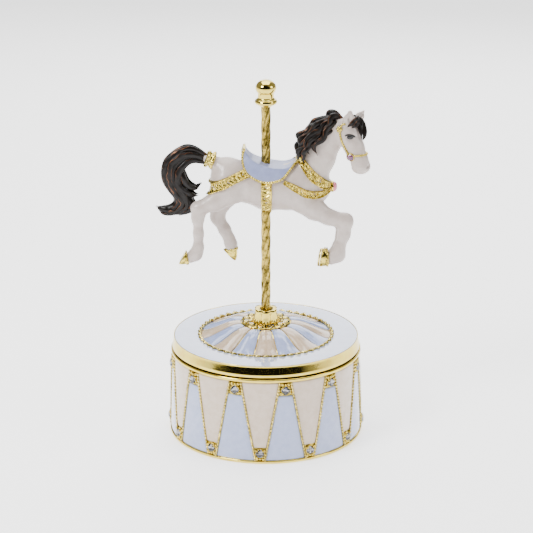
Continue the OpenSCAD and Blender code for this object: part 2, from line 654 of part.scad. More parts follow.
fore = [[14.5, 0, -3.4, 5.6, 3, 5.4], [24, 0, -9.4, 3.5, 2.6, 3.6], [32.2, 0, -12.6, 2.9, 2.4, 3.2],
        [31, 0, -20.6, 2.1, 1.9, 2.4], [29.4, 0, -27, 2.6, 2.2, 2.5], [27.2, 0, -28, 2, 1.9, 2.1]];
near_hind = [[-15.2, 0, 0.4, 6.2, 3.2, 7], [-20.8, 0, -4.6, 4, 2.8, 3.4], [-26.7, 0, -6.9, 3.2, 2.5, 2.5],
             [-27.3, 0, -17, 1.8, 1.7, 2.2], [-27.9, 0, -26.6, 2.3, 2.1, 2.3], [-30.2, 0, -27.3, 1.9, 1.8, 2]];
far_hind = [[-13.8, 0, -0.6, 6.2, 3.2, 7], [-19, 0, -10, 3.2, 2.4, 3.4], [-16.6, 0, -18.8, 2.2, 2, 2.4],
            [-14.4, 0, -25, 2.2, 2, 2], [-14.4, 0, -26.4, 1.8, 1.8, 1.6]];
leg_y = 4.1;
far_fore_shift = [-0.8, leg_y, -2.4];
module at_horse() { translate([0, 0, horse_z]) scale(horse_k) children(); }
module pole_hole() { translate([0, 0, -30]) cylinder(r = (pole_r + fit + 0.03) / horse_k, h = 60); }
module trunk_shape(grow) {
    chain([for (t = trunk) [t[0], t[1], t[2], t[3] + grow, t[4] + grow, t[5] + grow]]);
    chain([for (t = neck) [t[0], t[1], t[2], t[3] + grow, t[4] + grow, t[5] + grow]]);
}
module horse_shape() {
    trunk_shape(0);
    chain(concat([neck[3]], head));
    chain(dock);
    for (e = ears) chain(e);
    translate([0, -leg_y, 0]) chain(fore);
    translate(far_fore_shift) chain(fore);
    translate([0, -leg_y, 0]) chain(near_hind);
    translate([0, leg_y, 0]) chain(far_hind);
}
module horse_body() {
    color("whitesmoke") at_horse() difference() {
        horse_shape();
        pole_hole();
    }
}
// A hoof: a cone that starts clear of the end of the leg at p, points along d and ends at its sole
module hoof(p, d) {
    translate(p + d * 2.1) rotate([0, acos(d[2] / norm(d)), atan2(d[1], d[0])]) cylinder(r1 = 2.4, r2 = 3, h = 3);
}
module hooves() {
    color("gold") at_horse() difference() {
        union() {
            hoof([27.2, -leg_y, -28], [-1, 0, -0.06]);
            hoof([27.2, 0, -28] + far_fore_shift, [-1, 0, -0.06]);
            hoof([-30.2, -leg_y, -27.3], [-0.98, 0, -0.2]);
            hoof([-14.4, leg_y, -26.4], [-0.1, 0, -0.99]);
        }
        horse_shape();
    }
}
module mane() {
    color("black") at_horse() difference() {
        chain([[27.4, -2.6, 30.2, 2.4, 2.2, 2], [21.6, -3.2, 27.2, 3, 2.4, 2.6], [17, -3.6, 22, 3.2, 2.4, 3],
               [14, -4, 16.4, 2.7, 2.2, 3], [14.9, -4.5, 13.0, 1.6, 1.8, 1.8]]);
        horse_shape();
        bands();
    }
}
module forelock() {
    color("black") at_horse() difference() {
        chain([[33.8, -2.4, 28.2, 1.9, 1.7, 1.5], [37.2, -3.4, 25, 1.5, 1.6, 1.8], [39.3, -4.6, 20.6, 0.7, 0.8, 1.2]]);
        horse_shape();
    }
}
module tail() {
    color("black") at_horse() difference() {
        union() {
            chain([[-27, 0, 12.6, 2.2, 2, 2.3], [-30, 0, 14, 3, 2.4, 3],
                [-34.2, 0, 12.8, 3.5, 2.8, 3.5], [-37.4, 0, 7, 3.9, 3.2, 4], [-35.8, 0, 0.4, 4, 3.2, 4],
                [-33, -0.2, -4.6, 4.6, 3.2, 3.6], [-36.2, 0, -8.4, 3.6, 2.6, 3], [-41, 0, -8.6, 1.6, 1.6, 1.7],
                [-43.6, 0, -7.7, 0.7, 0.9, 0.8]]);
            chain([[-33, 0, 2.2, 2, 2, 2.4], [-29, 0, 1.4, 1.3, 1.4, 1.4], [-26.6, 0, 3, 0.6, 0.7, 0.7]]);
        }
        horse_shape();
    }
}
module tail_ferrule() {
    color("gold") at_horse() difference() {
        translate([-23.6, 0, 11.5]) rotate([0, -70, 0]) difference() {
            cylinder(r = 2.6, h = 2.2, center = true);
            cylinder(r = 1.95, h = 3, center = true);
        }
        horse_shape();
    }
}
module side_cut(outline) { rotate([90, 0, 0]) linear_extrude(height = 30, center = true) polygon(outline); }
// A strap: the band between two lines seen from the side, wrapped on the body
module strap(outline) {
    difference() {
        intersection() {
            trunk_shape(strap_t);
            side_cut(outline);
        }
        horse_shape();
        pole_hole();
    }
}
collar_band = [[10.6, 13.4], [14, 16], [19.6, 8.8], [24, 4.6], [30, 2.2], [30, -0.9], [23, 1.6], [17.4, 5.6]];
breast_band = [[8.6, 4.9], [13, 2.7], [18, 0.3], [24.6, 0.75], [24.6, -2.1], [17.6, -2.3], [12, 0.2], [8, 2.8]];
crupper_band = [[-8.6, 9.8], [-8.6, 6.6], [-26, -1.2], [-26, 2.2]];
girth_band = [[-2.2, 5.3], [2.6, 5.3], [2.6, -14], [-2.2, -14]];
module bands() {
    for (b = [collar_band, crupper_band]) intersection() {
        trunk_shape(strap_t);
        side_cut(b);
    }
}
seat_line = [[-8.2, 18.4], [-7.8, 16.5], [-5.7, 13.6], [-2.1, 11.7], [2.8, 10.5], [7.6, 10.2], [11.2, 11.7], [13, 12.8]];
rim_line = [[13.2, 12.6], [11.5, 11.3], [9.4, 8.9], [6.9, 6.1], [3.7, 4.8], [-0.4, 4.5], [-4.3, 5.7], [-7.7, 8.1],
            [-9.3, 11.3], [-9.6, 15.3], [-8.8, 18.6]];
saddle_rim_w = 1;
// The crescent seen from the side. shrink takes a margin off all round
module saddle_side(shrink) {
    rotate([90, 0, 0]) linear_extrude(height = 30, center = true) offset(delta = -shrink) polygon(concat(seat_line, rim_line));
}
module saddle_cut(shrink, grow) {
    difference() {
        intersection() {
            saddle_side(shrink);
            union() {
                trunk_shape(grow);
                hull() {
                    translate([2, 0, 12]) scale([12, 6 + grow, 4.6]) sphere(1, $fn = 24);
                    translate([-7, 0, 18]) scale([4, 4.5 + grow, 4]) sphere(1, $fn = 24);
                }
            }
        }
        horse_shape();
        pole_hole();
    }
}

// The strip along the lower line that the rim takes
module rim_zone() {
    for (i = [0:len(rim_line) - 2]) hull() {
        translate(rim_line[i]) circle(saddle_rim_w, $fn = 16);
        translate(rim_line[i + 1]) circle(saddle_rim_w, $fn = 16);
    }
}
module saddle() {
    color("lightsteelblue") at_horse() difference() {
        saddle_cut(fit, strap_t);
        rotate([90, 0, 0]) linear_extrude(height = 40, center = true) offset(delta = fit) rim_zone();
    }
}
module saddle_rim() {
    color("gold") at_horse() intersection() {
        saddle_cut(fit, strap_t + 0.25);
        rotate([90, 0, 0]) linear_extrude(height = 40, center = true) rim_zone();
    }
}
module under_saddle() {
    rotate([90, 0, 0]) linear_extrude(height = 40, center = true) offset(delta = fit) polygon(concat(seat_line, rim_line));
}
module girth_strap() {
    color("gold") at_horse() difference() {
        strap(girth_band);
        under_saddle();
    }
}
module breast_collar() {
    color("gold") at_horse() difference() {
        strap(collar_band);
        under_saddle();
    }
}
module breast_strap() {
    color("gold") at_horse() difference() {
        strap(breast_band);
        under_saddle();
    }
}
module crupper_strap() {
    color("gold") at_horse() difference() {
        strap(crupper_band);
        under_saddle();
    }
}
noseband = [36.7, -4.55, 13.9, 3.7, 3.2, 0.5];
module bridle() {
    color("gold") at_horse() difference() {
        union() {
            translate([noseband[0], noseband[1], noseband[2]]) rotate([0, 160, -27]) scale([noseband[3], noseband[4], 0.45])
                sphere(1, $fn = 24);
            chain([[29.8, -5.2, 25.8, 0.4, 0.4, 0.4], [31.8, -6, 20, 0.4, 0.4, 0.4], [34, -6.9, 13.6, 0.5, 0.5, 0.5]]);
            chain([[29.8, -5.2, 25.8, 0.4, 0.4, 0.4], [32, -4.4, 27.6, 0.4, 0.4, 0.4]]);
        }
        horse_shape();
    }
}
module bridle_stones() {
    color("plum") at_horse() difference() {
        translate([33.6, -6.9, 12.6]) rotate([90, 0, -27]) stone(1.3);
        horse_shape();
        translate([noseband[0], noseband[1], noseband[2]]) rotate([0, 160, -27]) scale([noseband[3], noseband[4], 0.45])
            sphere(1, $fn = 24);
        translate([34, -6.9, 13.6]) sphere(0.55, $fn = 18);
    }
}
module chest_stone() {
    color("pink") at_horse() translate([27.62, 0, 0.6]) rotate([0, 90, 0]) {
        cylinder(r = 2, h = 0.5);
        translate([0, 0, 0.5]) cylinder(r1 = 2, r2 = 1.3, h = 0.6);
    }
}

drum_shell();
cream_panels();
blue_panels();
twisted_wires();
upper_stone_cups();
lower_stone_cups();
upper_stones();
lower_stones();
base_plate();
base_screws();
movement_screws();
bedplate();
spring_housing();
mainspring();
comb_block();
comb();
comb_screws();
governor_cock();
cock_screw();
pinned_cylinder();
cylinder_pins();
cylinder_arbor();
cylinder_pinion();
cylinder_gear();
second_arbor();
worm_wheel();
endless_screw();
air_brake();
winding_arbor();
winding_key();
clutch_spring();
drive_wheel();
output_spindle();
lid_shell();
lid_enamel();
canopy_cream_gores();
canopy_blue_gores();
canopy_wire();
stone_ring();
ring_stones();
pole_collar();
pole();
finial();
horse_body();
hooves();
mane();
forelock();
tail();
tail_ferrule();
saddle();
saddle_rim();
girth_strap();
breast_collar();
breast_strap();
crupper_strap();
bridle();
bridle_stones();
chest_stone();
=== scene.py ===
"""Looks for a carousel music box: an enamelled drum, a turning lid, a twisted pole and a carousel horse.

Lengths are in millimetres until a mesh is made, and the frame is the model's own: +Z up the pole,
+X the way the horse faces, the origin at the centre of the drum's foot.
"""

import json
import logging
import math
from dataclasses import dataclass, field
from enum import Enum
from typing import Any, Callable, Sequence

import bpy
import numpy as np
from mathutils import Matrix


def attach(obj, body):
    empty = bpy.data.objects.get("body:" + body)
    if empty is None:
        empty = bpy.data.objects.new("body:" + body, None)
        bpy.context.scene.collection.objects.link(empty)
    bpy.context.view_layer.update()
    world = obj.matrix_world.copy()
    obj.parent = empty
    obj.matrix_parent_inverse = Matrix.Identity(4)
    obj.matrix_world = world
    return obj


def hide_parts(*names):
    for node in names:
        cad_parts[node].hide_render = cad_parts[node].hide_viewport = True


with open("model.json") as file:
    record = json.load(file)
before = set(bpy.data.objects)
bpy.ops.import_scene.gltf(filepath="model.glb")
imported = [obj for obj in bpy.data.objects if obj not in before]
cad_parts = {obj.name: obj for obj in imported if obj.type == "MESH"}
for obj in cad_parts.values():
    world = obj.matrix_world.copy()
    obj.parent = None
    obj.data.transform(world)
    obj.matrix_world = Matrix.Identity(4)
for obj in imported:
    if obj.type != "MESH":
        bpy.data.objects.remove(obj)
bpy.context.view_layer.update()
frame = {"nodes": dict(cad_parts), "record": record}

MM = 0.001
TAU = 2.0 * math.pi
Array = np.ndarray
LOG = logging.getLogger("music_box")


class Body(Enum):
    """The rigid bodies that a piece can ride on."""

    BASE = "base"
    TURNTABLE = "turntable"


# ------------------------------------------------------------------ colour and nodes


def linear(hex_code: str) -> tuple[float, float, float, float]:
    """Turns an sRGB hex colour into a linear one.

    Args:
        hex_code: Six hex digits, with or without a leading #.

    Returns:
        Linear red, green, blue and an alpha of one.
    """
    code = hex_code.lstrip("#")
    srgb = np.array([int(code[i:i + 2], 16) for i in (0, 2, 4)]) / 255.0
    value = np.where(srgb <= 0.04045, srgb / 12.92, ((srgb + 0.055) / 1.055) ** 2.4)
    return (float(value[0]), float(value[1]), float(value[2]), 1.0)


def put(tree: bpy.types.NodeTree, kind: str, inputs: dict[Any, Any] | None = None, **settings: Any) -> bpy.types.Node:
    """Adds a node with its settings, and sets or links its inputs.

    Args:
        tree: The node tree.
        kind: The node's type name.
        inputs: Input name or number to a value or to another node's output.
        settings: The node's own attributes.

    Returns:
        The node.
    """
    made = tree.nodes.new(kind)
    for name, value in settings.items():
        setattr(made, name, value)
    for key, value in (inputs or {}).items():
        if isinstance(value, bpy.types.NodeSocket):
            tree.links.new(value, made.inputs[key])
        else:
            made.inputs[key].default_value = value
    return made


def blank(name: str) -> tuple[bpy.types.Material, bpy.types.NodeTree, bpy.types.Node]:
    """Makes an empty node material.

    Args:
        name: The material's name.

    Returns:
        The material, its tree and its output node.
    """
    material = bpy.data.materials.new(name)
    material.use_nodes = True
    tree = material.node_tree
    tree.nodes.clear()
    return material, tree, put(tree, "ShaderNodeOutputMaterial")


def place(tree: bpy.types.NodeTree, scale: tuple[float, float, float] = (1.0, 1.0, 1.0),
          turn: tuple[float, float, float] = (0.0, 0.0, 0.0), source: str = "Object") -> bpy.types.NodeSocket:
    """Object or UV coordinates through a Mapping node, which keeps a pattern's place on its piece."""
    where = put(tree, "ShaderNodeTexCoord")
    return put(tree, "ShaderNodeMapping", {"Vector": where.outputs[source], "Rotation": turn,
                                           "Scale": scale}).outputs[0]


def per_mm(size_mm: float) -> float:
    """The texture scale that makes one feature of a pattern this many millimetres long."""
    return 1000.0 / size_mm


@dataclass(frozen=True)
class Finish:
    """A finish: a name, the record's slot that it belongs to, and a base colour."""

    name: str
    slot: str
    colour: str

    def dress(self, tree: bpy.types.NodeTree, shader: bpy.types.Node) -> None:
        """Adds this finish's own nodes to the shader."""

    def material(self) -> bpy.types.Material:
        """Builds the material once, and gives the same one after that."""
        known = bpy.data.materials.get(self.name)
        if known:
            return known
        material, tree, out = blank(self.name)
        shader = put(tree, "ShaderNodeBsdfPrincipled", {"Base Color": linear(self.colour)})
        tree.links.new(shader.outputs[0], out.inputs["Surface"])
        self.dress(tree, shader)
        return material


@dataclass(frozen=True)
class PlatedMetal(Finish):
    """Polished metal, cast and then buffed, which leaves faint waves and finer haze.

    A buffed plate reflects like a mirror with soft edges, and its tone shifts a little from place to place.
    """

    shade: str = "#C9A452"
    roughness: float = 0.12
    wave_mm: float = 5.0
    wave: float = 0.03
    haze: float = 0.10

    def dress(self, tree: bpy.types.NodeTree, shader: bpy.types.Node) -> None:
        """Tone and haze from one noise of a few millimetres, waves from another."""
        at = place(tree)
        blotch = put(tree, "ShaderNodeTexNoise", {"Vector": at, "Scale": per_mm(self.wave_mm), "Detail": 5.0})
        tone = put(tree, "ShaderNodeMix", {0: put(tree, "ShaderNodeMapRange",
                                                  {0: blotch.outputs[0], 1: 0.35, 2: 0.75}).outputs[0],
                                           6: linear(self.colour), 7: linear(self.shade)}, data_type="RGBA")
        rough = put(tree, "ShaderNodeMapRange", {0: blotch.outputs[0], 1: 0.3, 2: 0.8,
                                                 3: self.roughness, 4: self.roughness + self.haze})
        wave = put(tree, "ShaderNodeTexNoise", {"Vector": at, "Scale": per_mm(self.wave_mm * 0.6), "Detail": 2.0})
        bump = put(tree, "ShaderNodeBump", {"Strength": self.wave, "Distance": 0.4 * MM, "Height": wave.outputs[0]})
        tree.links.new(tone.outputs[2], shader.inputs["Base Color"])
        tree.links.new(rough.outputs[0], shader.inputs["Roughness"])
        tree.links.new(bump.outputs[0], shader.inputs["Normal"])
        shader.inputs["Metallic"].default_value = 1.0


@dataclass(frozen=True)
class CastGold(Finish):
    """Gold plate over an unpolished casting: tooled grain whose low spots are painted darker as shade and are duller,
    while the high spots keep the bright base colour.
    """

    # The colour painted into the hollows as shade.
    hollow_shade: str = "#8A6A26"
    grain_mm: float = 0.55
    relief_mm: float = 0.12
    roughness: float = 0.24

    def dress(self, tree: bpy.types.NodeTree, shader: bpy.types.Node) -> None:
        """Cell edges for the tooling, noise for the grain, and the hollows painted darker as shade and duller than the
        rest.
        """
        at = place(tree)
        cells = put(tree, "ShaderNodeTexVoronoi", {"Vector": at, "Scale": per_mm(self.grain_mm * 2.2),
                                                   "Randomness": 1.0},
                    feature="SMOOTH_F1")
        grain = put(tree, "ShaderNodeTexNoise", {"Vector": at, "Scale": per_mm(self.grain_mm), "Detail": 4.0})
        both = put(tree, "ShaderNodeMath", {0: put(tree, "ShaderNodeMath", {0: cells.outputs[0], 1: -0.7},
                                                   operation="MULTIPLY").outputs[0],
                                            1: grain.outputs[0]}, operation="ADD")
        # Painted shade: where the bump is low, the colour turns to the darker hollow shade.
        low = put(tree, "ShaderNodeMapRange", {0: both.outputs[0], 1: -0.05, 2: 0.35, 3: 1.0, 4: 0.0})
        tone = put(tree, "ShaderNodeMix", {0: low.outputs[0], 6: linear(self.colour), 7: linear(self.hollow_shade)},
                   data_type="RGBA")
        rough = put(tree, "ShaderNodeMapRange", {0: low.outputs[0], 1: 0.0, 2: 1.0, 3: self.roughness,
                                                 4: self.roughness + 0.22})
        bump = put(tree, "ShaderNodeBump", {"Strength": 0.6, "Distance": self.relief_mm * MM,
                                            "Height": both.outputs[0]})
        tree.links.new(tone.outputs[2], shader.inputs["Base Color"])
        tree.links.new(rough.outputs[0], shader.inputs["Roughness"])
        tree.links.new(bump.outputs[0], shader.inputs["Normal"])
        shader.inputs["Metallic"].default_value = 1.0


@dataclass(frozen=True)
class Enamel(Finish):
    """Cold enamel flooded into a field: deep gloss over a faintly clouded colour, with soft dimples."""

    cloud: str = "#FFFFFF"
    cloud_mm: float = 3.0
    roughness: float = 0.22
    dimple: float = 0.10
    pearl: float = 0.0
    coat: float = 1.0

    def dress(self, tree: bpy.types.NodeTree, shader: bpy.types.Node) -> None:
        """Two tones mixed by noise, a clear coat, and a shallow bump as the enamel pulls in while it sets."""
        at = place(tree)
        cloud = put(tree, "ShaderNodeTexNoise", {"Vector": at, "Scale": per_mm(self.cloud_mm), "Detail": 4.0,
                                                 "Roughness": 0.6})
        fleck = put(tree, "ShaderNodeTexNoise", {"Vector": at, "Scale": per_mm(0.35), "Detail": 2.0})
        mixed = put(tree, "ShaderNodeMath", {0: cloud.outputs[0],
                                             1: put(tree, "ShaderNodeMath", {0: fleck.outputs[0], 1: 0.35},
                                             operation="MULTIPLY").outputs[0]}, operation="ADD")
        amount = put(tree, "ShaderNodeMapRange", {0: mixed.outputs[0], 1: 0.45, 2: 0.95})
        tone = put(tree, "ShaderNodeMix", {0: amount.outputs[0], 6: linear(self.colour), 7: linear(self.cloud)},
                   data_type="RGBA")
        dimple = put(tree, "ShaderNodeTexNoise", {"Vector": at, "Scale": per_mm(self.cloud_mm * 1.5), "Detail": 1.5})
        bump = put(tree, "ShaderNodeBump", {"Strength": self.dimple, "Distance": 0.3 * MM, "Height": dimple.outputs[0]})
        tree.links.new(tone.outputs[2], shader.inputs["Base Color"])
        tree.links.new(bump.outputs[0], shader.inputs["Normal"])
        for name, value in {"Roughness": self.roughness, "Coat Weight": self.coat, "Coat Roughness": 0.05,
                            "Coat IOR": 1.5,
                            "Sheen Weight": self.pearl, "Sheen Roughness": 0.35}.items():
            shader.inputs[name].default_value = value


@dataclass(frozen=True)
class PaintedHair(Finish):
    """Black-brown enamel laid between fine raised copper lines that follow each lock."""

    line: str = "#B07A58"
    lines: float = 3.0

    def dress(self, tree: bpy.types.NodeTree, shader: bpy.types.Node) -> None:
        """The UV map runs along a lock in U and round it in V: a wave in V draws the lines, a noise in U breaks them
        up."""
        uv = put(tree, "ShaderNodeSeparateXYZ", {0: place(tree, source="UV")})
        sway = put(tree, "ShaderNodeTexNoise", {"Vector": place(tree), "Scale": per_mm(2.6), "Detail": 1.0})
        turn = put(tree, "ShaderNodeMath", {0: uv.outputs[1], 1: TAU * self.lines}, operation="MULTIPLY")
        bent = put(tree, "ShaderNodeMath", {0: turn.outputs[0],
                                            1: put(tree, "ShaderNodeMath", {0: sway.outputs[0], 1: 5.0},
                                            operation="MULTIPLY").outputs[0]}, operation="ADD")
        ridge = put(tree, "ShaderNodeMath", {0: bent.outputs[0]}, operation="SINE")
        broken = put(tree, "ShaderNodeTexNoise", {"Vector": place(tree), "Scale": per_mm(4.5), "Detail": 2.0})
        edge = put(tree, "ShaderNodeMapRange", {0: ridge.outputs[0], 1: 0.95, 2: 1.0})
        kept = put(tree, "ShaderNodeMapRange", {0: broken.outputs[0], 1: 0.46, 2: 0.62})
        mask = put(tree, "ShaderNodeMath", {0: edge.outputs[0], 1: kept.outputs[0]}, operation="MULTIPLY")
        tone = put(tree, "ShaderNodeMix", {0: mask.outputs[0], 6: linear(self.colour), 7: linear(self.line)},
                   data_type="RGBA")
        metal = put(tree, "ShaderNodeMath", {0: mask.outputs[0], 1: 0.7}, operation="MULTIPLY")
        bump = put(tree, "ShaderNodeBump", {"Strength": 0.6, "Distance": 0.16 * MM, "Height": ridge.outputs[0]})
        tree.links.new(tone.outputs[2], shader.inputs["Base Color"])
        tree.links.new(metal.outputs[0], shader.inputs["Metallic"])
        tree.links.new(bump.outputs[0], shader.inputs["Normal"])
        for name, value in {"Roughness": 0.32, "Specular IOR Level": 0.2, "Coat Weight": 0.06,
                            "Coat Roughness": 0.1}.items():
            shader.inputs[name].default_value = value


@dataclass(frozen=True)
class CutGlass(Finish):
    """Lead crystal, cut and polished: clear, with a high index that bends light hard at each facet."""

    ior: float = 1.6
    clear: float = 1.0

    def dress(self, tree: bpy.types.NodeTree, shader: bpy.types.Node) -> None:
        """Plain transmission, and a polish mark so fine that it only softens the highlight."""
        haze = put(tree, "ShaderNodeTexNoise", {"Vector": place(tree), "Scale": per_mm(0.8)})
        rough = put(tree, "ShaderNodeMapRange", {0: haze.outputs[0], 3: 0.0, 4: 0.06})
        tree.links.new(rough.outputs[0], shader.inputs["Roughness"])
        shader.inputs["Transmission Weight"].default_value = self.clear
        shader.inputs["IOR"].default_value = self.ior


@dataclass(frozen=True)
class TurnedMetal(Finish):
    """Turned, rolled or brushed metal: fine lines one way, with a satin gloss between them."""

    line_mm: float = 0.12
    roughness: float = 0.3
    axis: int = 2

    def dress(self, tree: bpy.types.NodeTree, shader: bpy.types.Node) -> None:
        """A noise stretched along the way of the brush gives the lines in tone, gloss and bump."""
        scale = [1.0, 1.0, 1.0]
        scale[self.axis] = 0.04
        streak = put(tree, "ShaderNodeTexNoise", {"Vector": place(tree, tuple(scale)),
                                                  "Scale": per_mm(self.line_mm * 4), "Detail": 3.0})
        tone = put(tree, "ShaderNodeMix", {0: put(tree, "ShaderNodeMapRange",
                                                  {0: streak.outputs[0], 1: 0.3, 2: 0.7, 4: 0.35}).outputs[0],
                                           6: linear(self.colour), 7: (0.05, 0.05, 0.05, 1.0)}, data_type="RGBA")
        rough = put(tree, "ShaderNodeMapRange", {0: streak.outputs[0], 3: self.roughness - 0.08,
                                                 4: self.roughness + 0.12})
        bump = put(tree, "ShaderNodeBump", {"Strength": 0.2, "Distance": 0.03 * MM, "Height": streak.outputs[0]})
        tree.links.new(tone.outputs[2], shader.inputs["Base Color"])
        tree.links.new(rough.outputs[0], shader.inputs["Roughness"])
        tree.links.new(bump.outputs[0], shader.inputs["Normal"])
        shader.inputs["Metallic"].default_value = 1.0


# Mirror-bright rims and bands: the strongest and cleanest reflections on the box.
GOLD_RIM = PlatedMetal("gold plate, polished", "gold_plate", "#E2CB66", shade="#CDB34E", roughness=0.05, haze=0.05)
# Unpolished casting behind the stones: it glitters in grains where the rims shine, and its hollows are painted dark
# brown as shade.
GOLD_FIELD = CastGold("gold plate, as cast", "gold_plate", "#D6BE5C", hollow_shade="#5E4F1E", grain_mm=1.0, relief_mm=0.1,
                      roughness=0.16)
# Pale bright beads of wire, which outline each field, with painted shade in the hollows of the grain.
GOLD_WIRE = CastGold("twisted gold wire", "antique_gold", "#E6D27E", hollow_shade="#8A7838", grain_mm=0.5, relief_mm=0.01,
                     roughness=0.1)
# Darker gold with nearly brown painted shade in its hollows, so the twist reads from afar.
GOLD_POLE = CastGold("twisted gold pole", "antique_gold", "#BBA24E", hollow_shade="#44380E", grain_mm=1.2, relief_mm=0.05,
                     roughness=0.15)
# Chased straps and hooves: warm gold with a soft glint on each leaf and painted shade in the hollows.
GOLD_TACK = CastGold("chased gold tack", "antique_gold", "#DCC660", hollow_shade="#94803A", grain_mm=0.8, relief_mm=0.04,
                     roughness=0.15)
# Warm cream with a faint pearl, glossy and flat between the wires.
CREAM = Enamel("cream enamel", "cream_enamel", "#C7B098", cloud="#D6C3AF", pearl=0.15)
# Pale lilac blue, the cool partner of the cream.
BLUE = Enamel("pale blue enamel", "blue_enamel", "#99A5CE", cloud="#A9B4D8")
# The drum's blue enamel painted lighter, as light falling on a face that lies face up, and wetter.
LID_BLUE_PAINTED_LIT = Enamel("lid enamel painted lighter", "blue_enamel", "#BFCAEA", cloud="#CED8F2", cloud_mm=4.0, dimple=0.4, roughness=0.08)
# Cream that carries one long highlight over each swelling gore.
GORE_CREAM = Enamel("canopy cream enamel", "cream_enamel", "#C4A98A", cloud="#D8C2A8", cloud_mm=2.2, dimple=0.4,
                    roughness=0.12)
# Blue between the cream gores, with the same long highlight.
GORE_BLUE = Enamel("canopy blue enamel", "blue_enamel", "#93A4D4", cloud="#AAB8E2", cloud_mm=2.2, dimple=0.4,
                   roughness=0.12)
# Slate blue with a satin gloss, softer than the canopy.
SADDLE_BLUE = Enamel("saddle enamel", "blue_enamel", "#8088AE", cloud="#9098BE", cloud_mm=2.5, roughness=0.42,
                     coat=0.25)
# Pearly off-white with a satin gloss, which shows the muscles without sharp highlights.
HORSE_WHITE = Enamel("pearl white enamel", "horse_enamel", "#B8A9A0", cloud="#C8BBB3", cloud_mm=2.8, roughness=0.38,
                     dimple=0.14, pearl=0.25, coat=0.35)
# Nearly black locks with thin copper lines along them.
HAIR = PaintedHair("black enamel hair with copper lines", "mane_enamel", "#100B08", line="#7E5238")
# A clear stone that breaks the foil behind it into light and dark facets.
CLEAR = CutGlass("clear crystal", "crystal", "#F4F4F6")
# Silver behind each stone, with dark patches painted on it as the dark reflections of the facets, so that no two facets
# match.
FOIL = PlatedMetal("silver foil", "crystal", "#CAC8CA", shade="#2A2828", roughness=0.03, haze=0.03, wave_mm=0.9)
# A deep violet stone at the jaw.
PURPLE = CutGlass("amethyst crystal", "purple_stone", "#A86AA0", clear=0.75)
# A smooth pink dome at the chest, with one highlight.
PINK = Enamel("pink cabochon", "pink_stone", "#DE6E88", cloud="#E88AA0", roughness=0.1, cloud_mm=1.5)
# Dull black, so the eye keeps its outline.
EYE_BLACK = Enamel("black eye paint", "mane_enamel", "#070605", cloud="#0C0A09", roughness=0.35, coat=0.1)
# Grey with fine lines: arbors, screws and the comb.
STEEL = TurnedMetal("ground steel", "steel", "#B9BBBF")
# Warm yellow with turned lines: the bedplate and the wheels.
BRASS = TurnedMetal("turned brass", "movement_brass", "#CBA65C")
# The dark blue-grey of a tempered spring.
BLUED = TurnedMetal("blued spring steel", "spring_steel", "#4A5468", roughness=0.24)
# Satin gold underneath, brushed one way.
GOLD_BASE = TurnedMetal("brushed gold base plate", "gold_plate", "#DDBF78", axis=0, roughness=0.26)


# ------------------------------------------------------------------ surfaces


def turned(profile: Sequence[tuple[float, float]], segments: int = 192) -> Array:
    """A profile turned about the Z axis: each point (r, z) gives the ring (r cos a, r sin a, z).

    Args:
        profile: Radius and height of each point.
        segments: How many points are on a ring.

    Returns:
        The grid, rings by points.
    """
    points = np.asarray(profile, float)
    a = np.arange(segments) * TAU / segments
    return np.stack([points[:, :1] * np.cos(a), points[:, :1] * np.sin(a), np.repeat(points[:, 1:], segments, 1)], 2)


def spline(points: Sequence[Sequence[float]], count: int) -> Array:
    """A Catmull-Rom curve: between two points, the cubic whose slopes are half the step across each point's neighbours.

    Args:
        points: The points that the curve passes through, with any number of values each.
        count: How many points to give back, evenly spaced in the parameter.

    Returns:
        The points on the curve.
    """
    p = np.asarray(points, float)
    p = np.vstack([2 * p[:1] - p[1:2], p, 2 * p[-1:] - p[-2:-1]])
    t = np.linspace(0, len(p) - 3 - 1e-9, count)
    i = t.astype(int)
    u = (t - i)[:, None]
    a, b, c, d = p[i], p[i + 1], p[i + 2], p[i + 3]
    return 0.5 * (2 * b + (c - a) * u + (2 * a - 5 * b + 4 * c - d) * u**2 + (3 * b - a - 3 * c + d) * u**3)


def swept(path: Array, across: Array, out: Array, side: Sequence[float] = (0.0, 1.0, 0.0)) -> Array:
    """A section carried along a path: ring point = path + across * side vector + out * normal.

    The side vector is the given direction made square to the path, and the normal is square to both.

    Args:
        path: Points of the path, n by 3.
        across: Section offsets along the side vector, n by m.
        out: Section offsets along the normal, n by m.
        side: The direction that the side vector leans to.

    Returns:
        The grid, n by m by 3.
    """
    tangent = np.gradient(path, axis=0)
    tangent /= np.linalg.norm(tangent, axis=1, keepdims=True)
    lean = np.asarray(side, float) - tangent * (tangent @ np.asarray(side, float))[:, None]
    lean /= np.linalg.norm(lean, axis=1, keepdims=True)
    normal = np.cross(tangent, lean)
    return path[:, None] + across[..., None] * lean[:, None] + out[..., None] * normal[:, None]


def about_z(grid: Array, degrees: float) -> Array:
    """A grid turned about the Z axis."""
    c, s = math.cos(math.radians(degrees)), math.sin(math.radians(degrees))
    return grid @ np.array([[c, s, 0.0], [-s, c, 0.0], [0.0, 0.0, 1.0]])


